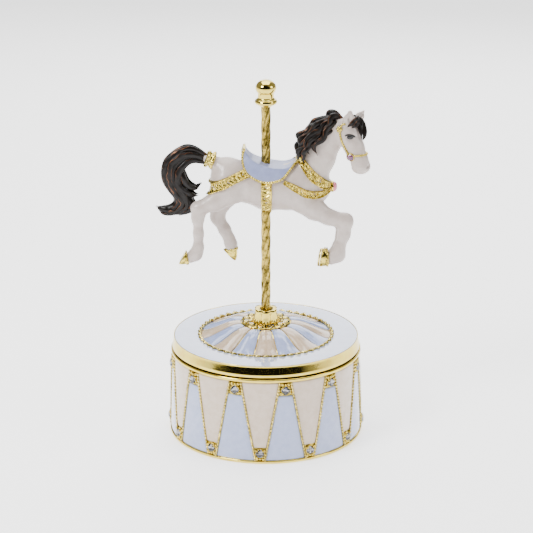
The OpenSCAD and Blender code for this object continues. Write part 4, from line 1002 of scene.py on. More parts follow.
class Clay:
    """A solid kept as signed distances on a grid, so that limbs and dents blend as they do in a modelled original."""

    def __init__(self, low: Sequence[float], high: Sequence[float], step: float) -> None:
        """Starts empty between two corners, with the grid's step in millimetres."""
        self.low, self.step = np.asarray(low, float), step
        counts = np.ceil((np.asarray(high, float) - self.low) / step).astype(int) + 1
        self.axes = [self.low[i] + step * np.arange(counts[i]) for i in range(3)]
        self.field = np.full(counts, 6.0, np.float32)

    def window(self, low: Array, high: Array) -> tuple[tuple[slice, ...], Array, Array, Array]:
        """The part of the grid between two corners, and its coordinates, open for broadcasting."""
        ends = [(int(np.clip(math.floor((low[i] - self.low[i]) / self.step), 0, len(self.axes[i]) - 1)),
                 int(np.clip(math.ceil((high[i] - self.low[i]) / self.step) + 1, 1,
                             len(self.axes[i])))) for i in range(3)]
        cut = tuple(slice(a, b) for a, b in ends)
        x, y, z = (self.axes[i][cut[i]] for i in range(3))
        return cut, x[:, None, None], y[None, :, None], z[None, None, :]

    def limb(self, stations: Sequence[Sequence[float]], blend: float = 1.6, carve: bool = False) -> "Clay":
        """Adds, or carves away, a limb of ellipsoids swept from station to station.

        At each point the nearest place t on the axis is found with lengths measured in the local radii. The radii are
        mixed by t. With k0 the length of (offset / radii) and k1 that of (offset / radii^2), the distance is
        k0 (k0 - 1) / k1.

        Args:
            stations: x, y, z and three radii of each station.
            blend: Size of the rounded join.
            carve: Whether the limb is taken away.

        Returns:
            This solid.
        """
        rows = np.asarray(stations, float)
        if len(rows) == 1:
            rows = np.vstack([rows, rows + [0.01, 0, 0, 0, 0, 0]])
        for a, b in zip(rows, rows[1:]):
            pad = max(a[3:].max(), b[3:].max()) + blend + 3.0
            cut, x, y, z = self.window(np.minimum(a[:3], b[:3]) - pad, np.maximum(a[:3], b[:3]) + pad)
            r, d = (a[3:] + b[3:]) / 2, b[:3] - a[:3]
            w = d / r**2
            t = np.clip(((x - a[0]) * w[0] + (y - a[1]) * w[1] + (z - a[2]) * w[2]) / (d @ w), 0, 1)
            k0 = k1 = 0.0
            for i, axis in enumerate((x, y, z)):
                offset = axis - a[i] - t * d[i]
                radius = a[3 + i] + t * (b[3 + i] - a[3 + i])
                k0, k1 = k0 + (offset / radius) ** 2, k1 + (offset / radius**2) ** 2
            k0, k1 = np.sqrt(k0), np.sqrt(k1)
            distance = k0 * (k0 - 1) / np.maximum(k1, 1e-6)
            old = self.field[cut]
            self.field[cut] = -smooth_min(-old, distance, blend) if carve else smooth_min(old, distance, blend)
        return self

    def at(self, points: Array) -> Array:
        """The field at any points, by trilinear mixing."""
        p = (points - self.low) / self.step
        i = np.clip(np.floor(p).astype(int), 0, np.array(self.field.shape) - 2)
        f = np.clip(p - i, 0, 1)
        total = 0.0
        for dx in (0, 1):
            for dy in (0, 1):
                for dz in (0, 1):
                    share = [f[:, k] if up else 1 - f[:, k] for k, up in enumerate((dx, dy, dz))]
                    total = total + share[0] * share[1] * share[2] * self.field[i[:, 0] + dx, i[:, 1] + dy,
                                                                                i[:, 2] + dz]
        return total

    def slope(self, points: Array) -> Array:
        """The field's gradient at any points, by central differences a step apart."""
        h = self.step * 0.9
        return np.stack([self.at(points + h * e) - self.at(points - h * e) for e in np.eye(3)], 1) / (2 * h)

    def onto(self, points: Array, offset: float = 0.0, rounds: int = 3, reach: float = 0.5) -> Array:
        """Moves points along the gradient until the field there is the offset, at most reach at a time."""
        p = np.array(points, float)
        for _ in range(rounds):
            g = self.slope(p)
            move = (self.at(p) - offset)[:, None] * g / np.maximum((g * g).sum(1), 1e-3)[:, None]
            length = np.linalg.norm(move, axis=1, keepdims=True)
            p -= move * np.minimum(1.0, reach / np.maximum(length, 1e-9))
        return p

    def skin(self) -> tuple[Array, Array]:
        """The surface where the field is zero, as points and four-sided faces.

        Each cell whose corners differ in sign takes one point, at the mean of its edges' zero crossings, and each
        grid edge that crosses joins the four cells round it.

        Returns:
            Points and faces.
        """
        f = np.pad(self.field, 1, constant_values=3.0)
        inside = f < 0
        shape = np.array(f.shape) - 1
        total, count = np.zeros((*shape, 3)), np.zeros(shape)
        for axis in range(3):
            lo = [slice(None)] * 3
            hi = [slice(None)] * 3
            lo[axis], hi[axis] = slice(0, -1), slice(1, None)
            a, b = f[tuple(lo)], f[tuple(hi)]
            cross = (a < 0) != (b < 0)
            t = np.where(cross, a / np.where(cross, a - b, 1.0), 0.0)
            others = [i for i in range(3) if i != axis]
            for du in (0, 1):
                for dv in (0, 1):
                    part = [slice(None)] * 3
                    part[others[0]] = slice(du, du + shape[others[0]])
                    part[others[1]] = slice(dv, dv + shape[others[1]])
                    here, where = cross[tuple(part)], t[tuple(part)]
                    count += here
                    total[..., axis] += where
                    total[..., others[0]] += here * du
                    total[..., others[1]] += here * dv
        used = count > 0
        number = np.full(shape, -1)
        number[used] = np.arange(used.sum())
        cell = np.stack(np.nonzero(used), 1)
        points = (cell + total[used] / count[used][:, None] - 1) * self.step + self.low
        faces = []
        for turn in ((0, 1, 2), (1, 2, 0), (2, 0, 1)):
            s, n = inside.transpose(turn), number.transpose(turn)
            leaving = s[:-1, 1:-1, 1:-1] & ~s[1:, 1:-1, 1:-1]
            entering = ~s[:-1, 1:-1, 1:-1] & s[1:, 1:-1, 1:-1]
            corners = [n[:, :-1, :-1], n[:, 1:, :-1], n[:, 1:, 1:], n[:, :-1, 1:]]
            faces.append(np.stack([c[leaving] for c in corners], 1))
            faces.append(np.stack([c[entering] for c in corners[::-1]], 1))
        quads = np.vstack(faces)
        return self.onto(points, 0.0, 2, self.step * 0.6), quads

    def cast(self, shell: Shell, at: Sequence[float], slot: int = 0) -> Shell:
        """Adds the surface to a shell, moved to its place."""
        points, quads = self.skin()
        uv = points[quads.ravel()][:, [0, 2]] / 50.0 + 0.5
        return shell.take(points + np.asarray(at), quads.ravel(), np.full(len(quads), 4), uv, np.full(len(quads), slot))


def line_distance(line: Array, x: Array, z: Array) -> tuple[Array, Array]:
    """Distance from points in a plane to a broken line, and how far along it the nearest place is.

    Args:
        line: The line's (x, z) points.
        x: Grid of x values.
        z: Grid of z values.

    Returns:
        The distance and the length along, each on the grid.
    """
    best, along, run = np.full(x.shape, 1e9), np.zeros(x.shape), 0.0
    for (ax, az), (bx, bz) in zip(line, line[1:]):
        dx, dz = bx - ax, bz - az
        length = math.hypot(dx, dz) + 1e-9
        t = np.clip(((x - ax) * dx + (z - az) * dz) / length**2, 0, 1)
        d = np.hypot(x - ax - t * dx, z - az - t * dz)
        closer = d < best
        best, along = np.where(closer, d, best), np.where(closer, run + t * length, along)
        run += length
    return best, along


def area_distance(outline: Array, x: Array, z: Array) -> Array:
    """Distance to a closed outline, negative inside it. Inside means that a ray along +X crosses it an odd number of
    times."""
    closed = np.vstack([outline, outline[:1]])
    inside = np.zeros(x.shape, bool)
    for (ax, az), (bx, bz) in zip(closed, closed[1:]):
        if az != bz:
            inside ^= ((az > z) != (bz > z)) & (x < (bx - ax) * (z - az) / (bz - az) + ax)
    distance = line_distance(closed, x, z)[0]
    return np.where(inside, -distance, distance)


@dataclass(frozen=True)
class Band:
    """A strap as it is seen from the side: a line of (x, z, half width) points."""

    name: str
    line: tuple[tuple[float, float, float], ...]
    node: str
    leaf_mm: float = 2.4
    lean: float = 1.1

    def measure(self, x: Array, z: Array) -> tuple[Array, Array, Array]:
        """Along the band, across it as a share of its half width, and the side-view distance to its edge.

        Args:
            x: Grid of x values.
            z: Grid of z values.

        Returns:
            Length along, signed share across and distance, each on the grid.
        """
        curve = spline(self.line, 90)
        steps = np.linalg.norm(np.diff(curve[:, :2], axis=0), axis=1)
        along = np.concatenate([[0], np.cumsum(steps)])
        tangent = np.gradient(curve[:, :2], axis=0)
        tangent /= np.linalg.norm(tangent, axis=1, keepdims=True)
        d2 = (x[..., None] - curve[:, 0]) ** 2 + (z[..., None] - curve[:, 1]) ** 2
        near = d2.argmin(-1)
        dx, dz = x - curve[near, 0], z - curve[near, 1]
        across = dx * tangent[near, 1] - dz * tangent[near, 0]
        on = dx * tangent[near, 0] + dz * tangent[near, 1]
        half = curve[near, 2]
        edge = np.maximum(np.abs(across) - half, np.abs(on) - 0.3)
        return along[near] + on, across / half, edge


@dataclass
class Horse:
    """The carousel horse: its body, hooves, hair, saddle and tack."""

    height: float = 103.7
    leg_y: float = 4.1
    strap: float = 0.9
    trunk: tuple = ((-14.6, 0, 4.0, 7.9, 6.7, 8.9), (-6, 0, 2.2, 7, 6.5, 8.0), (0.5, 0, 0.6, 8, 7.2, 9.3),
                    (9, 0, 0.6, 8, 7.1, 9.1),
                    (15, 0, 0.6, 8.6, 6.8, 9.2), (20, 0, 0.8, 6.3, 5.4, 7.0))
    neck: tuple = ((15, 0, 4, 8, 5.6, 7.5), (21.0, 0, 13, 6.4, 4.2, 6.4), (25.4, -0.5, 21.4, 5.2, 3.5, 5.4),
                   (29.6, -1.4, 26.0, 4.1, 3.1, 3.8))
    head: tuple = ((29.6, -1.4, 26.0, 4.1, 3.1, 3.8), (32.8, -2.6, 23.6, 4.6, 3.3, 4.6),
                   (35.6, -3.9, 17.8, 3.7, 2.8, 4.2),
                   (37.3, -4.8, 13.6, 3.3, 2.6, 3.4), (38.0, -5.3, 10.9, 3.9, 2.9, 3.3))
    dock: tuple = ((-17.2, 0, 9.0, 3.0, 3.0, 3.2), (-22.2, 0, 12.0, 1.6, 1.6, 1.6), (-25.4, 0, 12.9, 1.3, 1.3, 1.3))
    fore: tuple = ((14.5, 0, -3.4, 5.6, 3, 5.4), (20.5, 0, -8.0, 4.1, 2.8, 3.8), (26, 0, -10.9, 3.2, 2.5, 2.9),
                   (32.2, 0, -12.6, 2.9, 2.4, 3.2),
                   (31.7, 0, -18.2, 2.3, 2.0, 2.6), (30.0, 0, -23.6, 2.0, 1.8, 2.2), (29.3, 0, -26.8, 2.7, 2.2, 2.9),
                   (26.7, 0, -28.0, 1.9, 2.0, 3.1))
    near_hind: tuple = ((-15.2, 0, 0.4, 6.2, 3.2, 7.0), (-20.8, 0, -4.6, 4.0, 2.8, 3.4),
                        (-26.7, 0, -6.9, 3.3, 2.5, 2.5), (-27.5, 0, -11.0, 2.3, 2.0, 2.4),
                        (-27.3, 0, -18.0, 1.8, 1.7, 2.2), (-27.4, 0, -23.6, 1.9, 1.8, 2.2),
                        (-28.3, 0, -26.4, 2.2, 2.1, 2.5), (-30.7, 0, -27.9, 1.8, 1.9, 2.4))
    far_hind: tuple = ((-13.8, 0, -0.6, 6.2, 3.2, 7.0), (-19.0, 0, -8.6, 3.5, 2.6, 3.6),
                       (-19.8, 0, -13.2, 2.6, 2.2, 3.0), (-16.8, 0, -18.8, 2.2, 2.0, 2.4),
                       (-15.0, 0, -22.6, 2.0, 1.8, 2.1), (-14.3, 0, -25.0, 2.2, 2.0, 2.0),
                       (-14.4, 0, -26.6, 1.8, 1.8, 1.6))
    seat_line: tuple = ((-8.3, 17.3), (-7.7, 15.9), (-5.7, 13.6), (-2.1, 11.7), (2.8, 10.5), (7.6, 10.2), (11.0, 11.6),
                        (12.8, 12.7))
    rim_line: tuple = ((-8.9, 17.3), (-9.6, 14.9), (-9.3, 11.3), (-7.7, 8.1), (-4.3, 5.7), (-0.4, 4.5), (3.7, 4.8),
                       (6.9, 6.1), (9.4, 8.9), (11.5, 11.2), (13.1, 12.5))
    far_fore: tuple[float, float, float] = (-0.6, 4.1, -2.6)
    body: Clay = field(init=False, repr=False)

    def at(self) -> tuple[float, float, float]:
        """Where the horse's own origin is."""
        return (0.0, 0.0, self.height)

    def leg(self, stations: tuple, shift: tuple[float, float, float]) -> list[tuple[float, ...]]:
        """A leg's stations moved aside."""
        return [(s[0] + shift[0], s[1] + shift[1], s[2] + shift[2], *s[3:]) for s in stations]

    def model(self) -> Clay:
        """Models the body: barrel, neck, head, legs, and the muscle and face details."""
        clay = Clay((-33, -12, -34), (46, 12, 37), 0.32)
        clay.limb(self.trunk, 2.0).limb(self.neck, 3.2).limb(self.head, 1.4).limb(self.dock, 3.0)
        y = self.leg_y
        clay.limb(self.leg(self.fore, (0, -y, 0)), 1.8).limb(self.leg(self.near_hind, (0, -y, 0)),
                                                             2.0).limb(self.leg(self.far_hind, (0, y, 0)), 2.0)
        clay.limb(self.leg(self.fore, self.far_fore), 1.8)
        clay.limb([(33.0, -4.2, 21.0, 3.2, 1.8, 3.2), (34.4, -5.0, 17.0, 2.2, 1.5, 2.6)], 1.2)
        clay.limb([(33.6, -1.0, 21.0, 3.2, 1.8, 3.2), (35.4, -1.9, 17.0, 2.2, 1.5, 2.6)], 1.2)
        clay.limb([(34.6, -4.9, 24.4, 1.7, 0.9, 0.8)], 0.9).limb([(36.8, 0.2, 24.4, 1.5, 0.9, 0.8)], 0.9)
        for s, foot, mid, tip in ((-1, (32.6, -4.2, 28.0), (33.1, -4.9, 30.5), (33.4, -5.3, 32.7)),
                                  (1, (35.6, 0.7, 27.6), (37.7, 1.6, 29.8), (39.2, 2.2, 31.7))):
            wide = 1.4 if s < 0 else 1.1
            point = (1.1, 0.6, 1.2) if s < 0 else (0.4, 0.4, 0.5)
            clay.limb([(*foot, 1.7 * wide, 1.2, 1.6), (*mid, 1.55 * wide, 0.9, 1.5), (*tip, *point)], 0.9)
            clay.limb([(mid[0] + 0.2, mid[1] - 0.95 if s < 0 else mid[1] - 0.9, mid[2] - 0.2, 0.8, 0.55, 1.2),
                       (tip[0], tip[1] - 0.7, tip[2] - 1.1, 0.25, 0.4, 0.5)], 0.5, carve=True)
        clay.limb([(40.6, -7.2, 10.9, 0.55, 0.7, 0.45), (41.0, -6.9, 11.6, 0.4, 0.6, 0.4)], 0.5, carve=True)
        clay.limb([(41.4, -3.4, 10.9, 0.55, 0.7, 0.45)], 0.5, carve=True)
        clay.limb([(36.2, -8.2, 9.1, 0.5, 0.45, 0.22), (39.4, -7.6, 8.7, 0.9, 0.7, 0.22)], 0.35, carve=True)
        clay.limb([(33.6, -6.5, 22.8, 1.9, 0.7, 1.0)], 0.7, carve=True)
        clay.limb([(17.2, -7.2, -1.5, 0.9, 0.7, 3.6), (21.8, -5.6, 4.2, 0.8, 0.6, 2.5)], 1.8, carve=True)
        clay.limb([(17.2, 7.2, -1.5, 0.9, 0.7, 3.6), (21.8, 5.6, 4.2, 0.8, 0.6, 2.5)], 1.8, carve=True)
        for side in (-1, 1):
            clay.limb([(-9.4, side * 7.3, -1.6, 0.9, 0.8, 3.2)], 2.2, carve=True)
            clay.limb([(-19.6, side * 7.4, 2.4, 2.8, 0.7, 0.8)], 1.8, carve=True)
        return clay

    def relief(self, band: Band, along: Array, across: Array) -> Array:
        """How thick a strap stands: two rounded ribs along its edges, and leaf scrolls between them."""
        rib = np.exp(-((np.abs(across) - 0.82) / 0.16) ** 2)
        leaf = np.cos(TAU * along / band.leaf_mm + band.lean * np.pi * np.abs(across))
        leaf = leaf * np.cos(TAU * along / (band.leaf_mm * 1.7) - 2.2 * across)
        return 0.36 + 0.55 * rib + 0.42 * leaf * (1 - rib)

    def strap_piece(self, band: Band) -> Shell:
        """A strap: what lies between the body's skin, sunk a little, and that skin grown by the relief, inside the
        band.

        Args:
            band: The strap.

        Returns:
            The shell.
        """
        line = np.asarray(band.line)
        clay = Clay((line[:, 0].min() - 3.5, -10, line[:, 1].min() - 3.5),
                    (line[:, 0].max() + 3.5, 10, line[:, 1].max() + 3.5), 0.2)
        x, y, z = np.meshgrid(*clay.axes, indexing="ij")
        along, across, edge = band.measure(x[:, 0, :], z[:, 0, :])
        skin = self.body.at(np.stack([x.ravel(), y.ravel(), z.ravel()], 1)).reshape(x.shape)
        outer = skin - self.relief(band, along, across)[:, None, :]
        field_now = -smooth_min(-outer, -edge[:, None, :].repeat(x.shape[1], 1), 0.35)
        clay.field = np.maximum(field_now, -(skin + 0.45)).astype(np.float32)
        return clay.cast(Shell(), self.at())

    def lock(self, shell: Shell, points: Sequence[Sequence[float]], width: float, thick: float, sway: float = 0.25,
             full: float = 0.35) -> None:
        """Adds a lock of hair: a flattened tube that swells from its root, tapers to a fine tip, and has five ridges.

        Args:
            shell: Where it goes.
            points: The lock's path.
            width: Full width at its fattest.
            thick: Full thickness there.
            sway: How far it weaves from side to side.
            full: Where on its length it is fattest.
        """
        n, m = 46, 20
        path = spline(points, n)
        t = np.linspace(0, 1, n)
        path[:, 0] += sway * np.sin(TAU * 2.0 * t) * t
        path[:, 2] += sway * np.cos(TAU * 2.0 * t) * t * (1 - t)
        size = np.clip(np.where(t < full, 0.55 + 0.45 * np.sin(math.pi / 2 * t / full),
                                np.cos(math.pi / 2 * (t - full) / (1 - full)) ** 0.8), 0.03, 1)
        a = np.arange(m) * TAU / m
        ridge = 1 + 0.16 * np.abs(np.sin(2.5 * a[None, :] + 1.5 * t[:, None])) - 0.08
        across, out = size[:, None] * ridge * thick / 2 * np.cos(a), size[:, None] * ridge * width / 2 * np.sin(a)
        shell.grid(swept(path, across, out) + np.array(self.at()))

    def mirrored(self, points: Sequence[Sequence[float]], about: float = -1.0) -> list[tuple[float, float, float]]:
        """A path reflected to the far side of the neck."""
        return [(p[0] - 0.6, 2 * about - p[1], p[2] + 0.4) for p in points]

    def hair(self) -> None:
        """Makes the mane, the forelock and the tail."""
        mane = Shell()
        core = Clay((8, -9, 8), (32, 7, 36), 0.36)
        core.limb([(28.6, -1.4, 28.2, 2.2, 2.0, 1.6), (23.9, -1.6, 27.6, 2.4, 2.2, 2.0),
                   (19.2, -1.4, 24.9, 2.6, 2.2, 2.6), (16.0, -1.2, 20.4, 2.3, 2.0, 2.6),
                   (14.6, -1.4, 16.6, 1.5, 1.6, 2.2)], 1.0)
        core.cast(mane, self.at())
        near = (
            (((30.4, -1, 29.7), (27.5, -2.6, 32.4), (25.1, -3.9, 31.6), (23.9, -4.5, 28.9), (21.9, -4.9, 26.5)), 3.0,
             1.8),
            (((29.6, -2, 28.3), (26.3, -3.8, 29.5), (23.5, -4.8, 26.9), (21.9, -5.5, 23.4), (19.2, -6.1, 21.1),
              (20.0, -6.0, 16.7)), 2.9, 1.6),
            (((28.8, -2.4, 27.1), (24.7, -4.3, 26.2), (21.6, -5.2, 23.6), (18.1, -5.8, 21.0), (19.6, -6.2, 17.6)), 2.2,
             1.4),
            (((26.0, -1, 31.3), (22.0, -2.4, 30.0), (18.9, -3.2, 28.3), (16.8, -3.6, 26.0), (16.0, -3.8, 23.3)), 2.8,
             1.8),
            (((24.6, -2.4, 29.0), (19.8, -3.9, 26.6), (16.5, -4.5, 24.3), (14.0, -4.9, 22.1), (12.8, -4.6, 19.2)), 2.9,
             1.7),
            (((22.2, -4.0, 26.0), (18.2, -5.2, 23.4), (15.8, -5.7, 20.5), (16.9, -6.2, 17.2)), 2.4, 1.6),
            (((18.6, -2.4, 26.0), (14.9, -3.5, 24.1), (12.8, -3.9, 22.4), (13.6, -4.5, 19.8), (12.2, -4.3, 16.9)), 2.6,
             1.6),
            (((17.2, -4, 22.0), (14.0, -4.8, 19.9), (12.2, -4.7, 17.6), (12.4, -4.8, 15.4), (13.6, -5.0, 13.8)), 2.6,
             1.6),
            (((18.8, -4.8, 22.8), (15.9, -5.7, 19.7), (14.2, -5.7, 17.3), (14.2, -5.8, 15.4), (15.2, -6.0, 13.6)), 2.5,
             1.5),
            (((28.4, -1.4, 31.0), (25.2, -2.6, 30.4), (21.8, -3.8, 28.6), (19.8, -4.4, 25.6), (17.6, -4.8, 24.6)), 2.2,
             1.4),
            (((20.6, -3.6, 27.4), (17.4, -4.6, 24.8), (14.8, -5.0, 21.6), (14.6, -5.3, 18.6), (13.2, -5.2, 16.4)), 2.0,
             1.4))
        for points, width, thick in near:
            moved = [(p[0] + 0.7, p[1], p[2] - 1.3) for p in points]
            self.lock(mane, moved, width * 0.84, thick * 1.15, 0.55)
            self.lock(mane, self.mirrored(moved), width * 0.84, thick * 1.15, 0.55)
        mane.make("mane_locks", Body.TURNTABLE, [HAIR], ["mane"])
        fore = Shell()
        Clay((28, -9, 18), (42, 3, 35), 0.36).limb([(34.6, -1.9, 29.4, 1.5, 1.5, 1.4),
                                                    (37.0, -2.6, 27.4, 1.3, 1.6, 1.6),
                                                    (38.2, -3.4, 24.6, 0.7, 1.3, 1.4)], 0.8).cast(fore, self.at())
        for points, width, thick in ((((36.9, -2.4, 30.6), (35.8, -4.8, 29.9), (34.1, -6.3, 28.8), (32.3, -6.8, 27.3)),
                                      2.3, 1.4),
                                     (((37.2, -2.8, 29.8), (36.6, -5.0, 28.9), (35.4, -6.3, 27.9), (34.0, -6.7, 27.0)),
                                      2.0, 1.3),
                                     (((34.8, -1.4, 30.8), (38.0, -3.0, 28.8), (39.1, -4.8, 26.1), (39.2, -5.6, 23.4),
                                       (38.7, -6.0, 21.6)), 2.2, 1.3),
                                     (((34.6, -1.8, 30.2), (36.7, -4.1, 28.2), (37.7, -5.4, 25.2), (38.4, -6.0, 21.9)),
                                      1.7, 1.2),
                                     (((35.2, -1.0, 30.4), (38.0, -1.6, 28.8), (39.2, -2.8, 26.2), (39.5, -3.8, 23.4)),
                                      1.9, 1.2),
                                     (((34.6, -1.8, 30.0), (35.6, -4.2, 29.0), (35.4, -5.2, 27.6), (34.2, -5.7, 26.6)),
                                      1.4, 1.0)):
            self.lock(fore, points, width, thick, 0.15)
        fore.make("forelock_locks", Body.TURNTABLE, [HAIR], ["forelock"])
        tail = Shell()
        core = Clay((-47, -6, -16), (-22, 6, 21), 0.4)
        core.limb([(-25.8, 0, 12.8, 1.9, 1.7, 1.9), (-30, 0, 14.2, 2.6, 2.1, 2.6), (-34.2, 0, 13.0, 3.3, 2.5, 3.3),
                   (-37.4, 0, 7.2, 3.1, 2.8, 3.8),
                   (-36.0, 0, 0.6, 3.2, 2.8, 3.6), (-33.2, 0, -4.6, 3.4, 2.6, 3.2), (-35.4, 0, -8.2, 3.4, 2.0, 2.6),
                   (-39.6, 0, -9.0, 2.2, 1.5, 1.9), (-43.0, 0, -8.2, 1.0, 1.0, 1.0)], 1.4).cast(tail, self.at())
        tails = (
            (((-24.1, 0, 13.8), (-28.4, -0.8, 16.4), (-32.4, -1.2, 16.9), (-37.0, -1.4, 14.0), (-40.1, -1.6, 10.0),
              (-40.4, -1.6, 4.4), (-37.8, -1.6, -0.6),
              (-35.1, -1.6, -4.2), (-36.4, -1.4, -7.4), (-40.1, -1.0, -8.6), (-44.7, -0.5, -7.5)), 3.2, 2.6, 0.45),
            (((-24.1, -0.6, 12.4), (-29.2, -1.9, 14.5), (-34.0, -2.4, 14.3), (-37.8, -2.6, 10.6), (-38.6, -2.8, 4.8),
              (-36.3, -2.8, -1.1), (-33.9, -2.6, -5.4),
              (-36.8, -2.1, -9.4), (-40.9, -1.4, -10.3), (-43.3, -1, -8.9)), 3.0, 1.9, 0.4),
            (((-24.1, -0.8, 11.2), (-29.3, -2.1, 12.3), (-32.7, -2.7, 10.7), (-35.3, -3.1, 6.6), (-35.1, -3.1, 1.5),
              (-32.8, -2.9, -2.7), (-31.9, -2.5, -6.6),
              (-34.6, -2, -9.5), (-38.5, -1.4, -11.0)), 2.8, 1.8, 0.4),
            (((-34.1, -2.2, 9.0), (-33.1, -2.6, 4.8), (-31.0, -2.0, 1.5), (-28.2, -1.2, 0.7), (-25.8, -0.4, 2.4)), 2.6,
             2.2, 0.3),
            (((-36.5, -2.6, 8.2), (-35.4, -3, 2.8), (-32.9, -2.6, -0.6), (-29.6, -1.8, -2.2), (-27.2, -1, -2.6)), 2.8,
             2.2, 0.4),
            (((-33.8, -2.4, -1.6), (-31.0, -2, -4.4), (-29.9, -1.6, -6.8), (-31.6, -1.2, -9.2), (-35.2, -0.8, -11.2)),
             3.0, 2.2, 0.4),
            (((-30.2, -1.6, 13.6), (-35.4, -2.6, 12.2), (-37.4, -3.2, 7.6), (-36.9, -3.2, 2.4), (-34.4, -3.1, -1.8),
              (-32.9, -2.8, -5.4), (-35.4, -2.2, -8.6)), 1.7, 1.3, 0.45))
        for points, width, thick, full in tails:
            self.lock(tail, points, width, thick, 0.3, full)
            self.lock(tail, [(p[0], 0.3 - p[1], p[2]) for p in points], width, thick, 0.35, full)
        tail.make("tail_locks", Body.TURNTABLE, [HAIR], ["tail"])

    def saddle_width(self, x: Array, z: Array) -> Array:
        """Half the saddle's width: it hugs the barrel low down and narrows up the cantle."""
        low = 8.1 * np.sqrt(np.clip(1 - (x / 19.0) ** 2 - ((z - 0.5) / 19.5) ** 2, 0, 1))
        cantle = 5.0 - 0.16 * np.clip(z - 11.0, 0, 10) - 0.55 * np.clip(x - 8.5, 0, 5)
        return np.maximum(low, cantle)

    def saddlery(self) -> None:
        """Makes the saddle, a crescent from the side, and the twisted gold rim along its lower edge."""
        inner, outer = spline(self.seat_line, 40), spline(self.rim_line, 60)
        crescent = np.vstack([outer, inner[::-1]])
        clay = Clay((-13, -10, 1.5), (16, 10, 22), 0.22)
        x, y, z = np.meshgrid(*clay.axes, indexing="ij")
        flat = (x[:, 0, :], z[:, 0, :])
        skin = self.body.at(np.stack([x.ravel(), y.ravel(), z.ravel()], 1)).reshape(x.shape)
        edge, along = line_distance(outer, *flat)
        shape = area_distance(crescent, *flat)[:, None, :]
        width = self.saddle_width(x, z)
        inside = np.minimum(np.minimum(width - 0.8 - np.abs(y), 16.4 - z), 11.8 - x)
        for name, node, finish, keep, grow in (("saddle_seat", "saddle", SADDLE_BLUE, np.full_like(x, -9.0), 0.0),
                                               ("saddle_edge", "saddle_rim", GOLD_TACK,
                                                np.maximum(edge[:, None, :] - 0.75, inside), 0.3)):
            side = np.minimum(skin - self.strap - grow, (np.abs(y) - width - grow) * 0.9)
            bead = 0.12 * np.cos(TAU * along / 1.1)[:, None, :] * (grow > 0)
            field_now = -smooth_min(-np.maximum(shape - grow - bead, keep), -(side - bead), 0.6)
            clay.field = np.maximum(field_now, -(skin + 0.5)).astype(np.float32)
            clay.cast(Shell(), self.at()).make(name, Body.TURNTABLE, [finish], [node])

    def bands(self) -> tuple[Band, ...]:
        """The straps."""
        return (
            Band("girth", ((0.2, 5.0, 2.2), (0.2, -2.0, 2.25), (0.2, -9.0, 2.2), (0.2, -12.5, 2.2)), "girth_strap", 2.6,
                 1.0),
            Band("neck_collar", ((12.8, 14.2, 1.1), (15.6, 10.8, 1.7), (18.8, 6.8, 2.0), (22.6, 3.6, 2.0),
                                 (26.6, 1.4, 1.5), (29.5, 0.8, 1.5)), "breast_collar", 2.3, 1.3),
            Band("breast", ((7.4, 4.6, 0.9), (12.4, 1.9, 1.5), (17.4, -0.6, 1.6), (22.4, -0.9, 1.5), (25.6, 0.2, 1.2)),
                 "breast_strap", 2.3, 1.3),
            Band("crupper", ((-7.0, 8.3, 1.8), (-12.0, 6.2, 1.9), (-18.0, 3.4, 2.1), (-25.5, 0.6, 2.2)),
                 "crupper_strap", 2.6, 1.2))

    def tube(self, shell: Shell, points: Sequence[Sequence[float]], radius: float, lift: float,
             twist: float = 0.0) -> None:
        """Adds a thin cord that is drawn onto the body's skin.

        Args:
            shell: Where it goes.
            points: The cord's rough path.
            radius: Its radius.
            lift: How far its middle stands off the skin.
            twist: Length of one twist of its strands, or zero for a plain cord.
        """
        path = self.body.onto(spline(points, 60), lift, 6, 1.2)
        for _ in range(3):
            path[1:-1] = (path[:-2] + 2 * path[1:-1] + path[2:]) / 4
        along = np.concatenate([[0], np.cumsum(np.linalg.norm(np.diff(path, axis=0), axis=1))])
        a = np.arange(10) * TAU / 10
        r = radius * (1 - (0.25 * np.abs(np.sin(a[None, :] - math.pi * along[:,
                None] / twist)) if twist else 0 * along[:, None] * a))
        shell.grid(swept(path, r * np.cos(a), r * np.sin(a), (0.3, 1.0, 0.2)) + np.array(self.at()))

    def rosette(self, at: Sequence[float], out: Sequence[float], radius: float, petals: int, height: float) -> Array:
        """A small cast flower: a dome whose radius swells into petals."""
        grid = turned([(0.02, -0.4), (radius * 0.9, -0.4), (radius, 0.0), (radius * 0.85, height * 0.55),
                       (radius * 0.5, height * 0.75),
                       (radius * 0.4, height * 0.6), (radius * 0.25, height), (0.02, height * 1.1)], 48)
        a = np.arange(48) * TAU / 48
        grid[1:5, :, :2] *= (1 + 0.16 * np.cos(petals * a))[None, :, None]
        return stand(grid.reshape(-1, 3), at, out).reshape(grid.shape) + np.array(self.at())

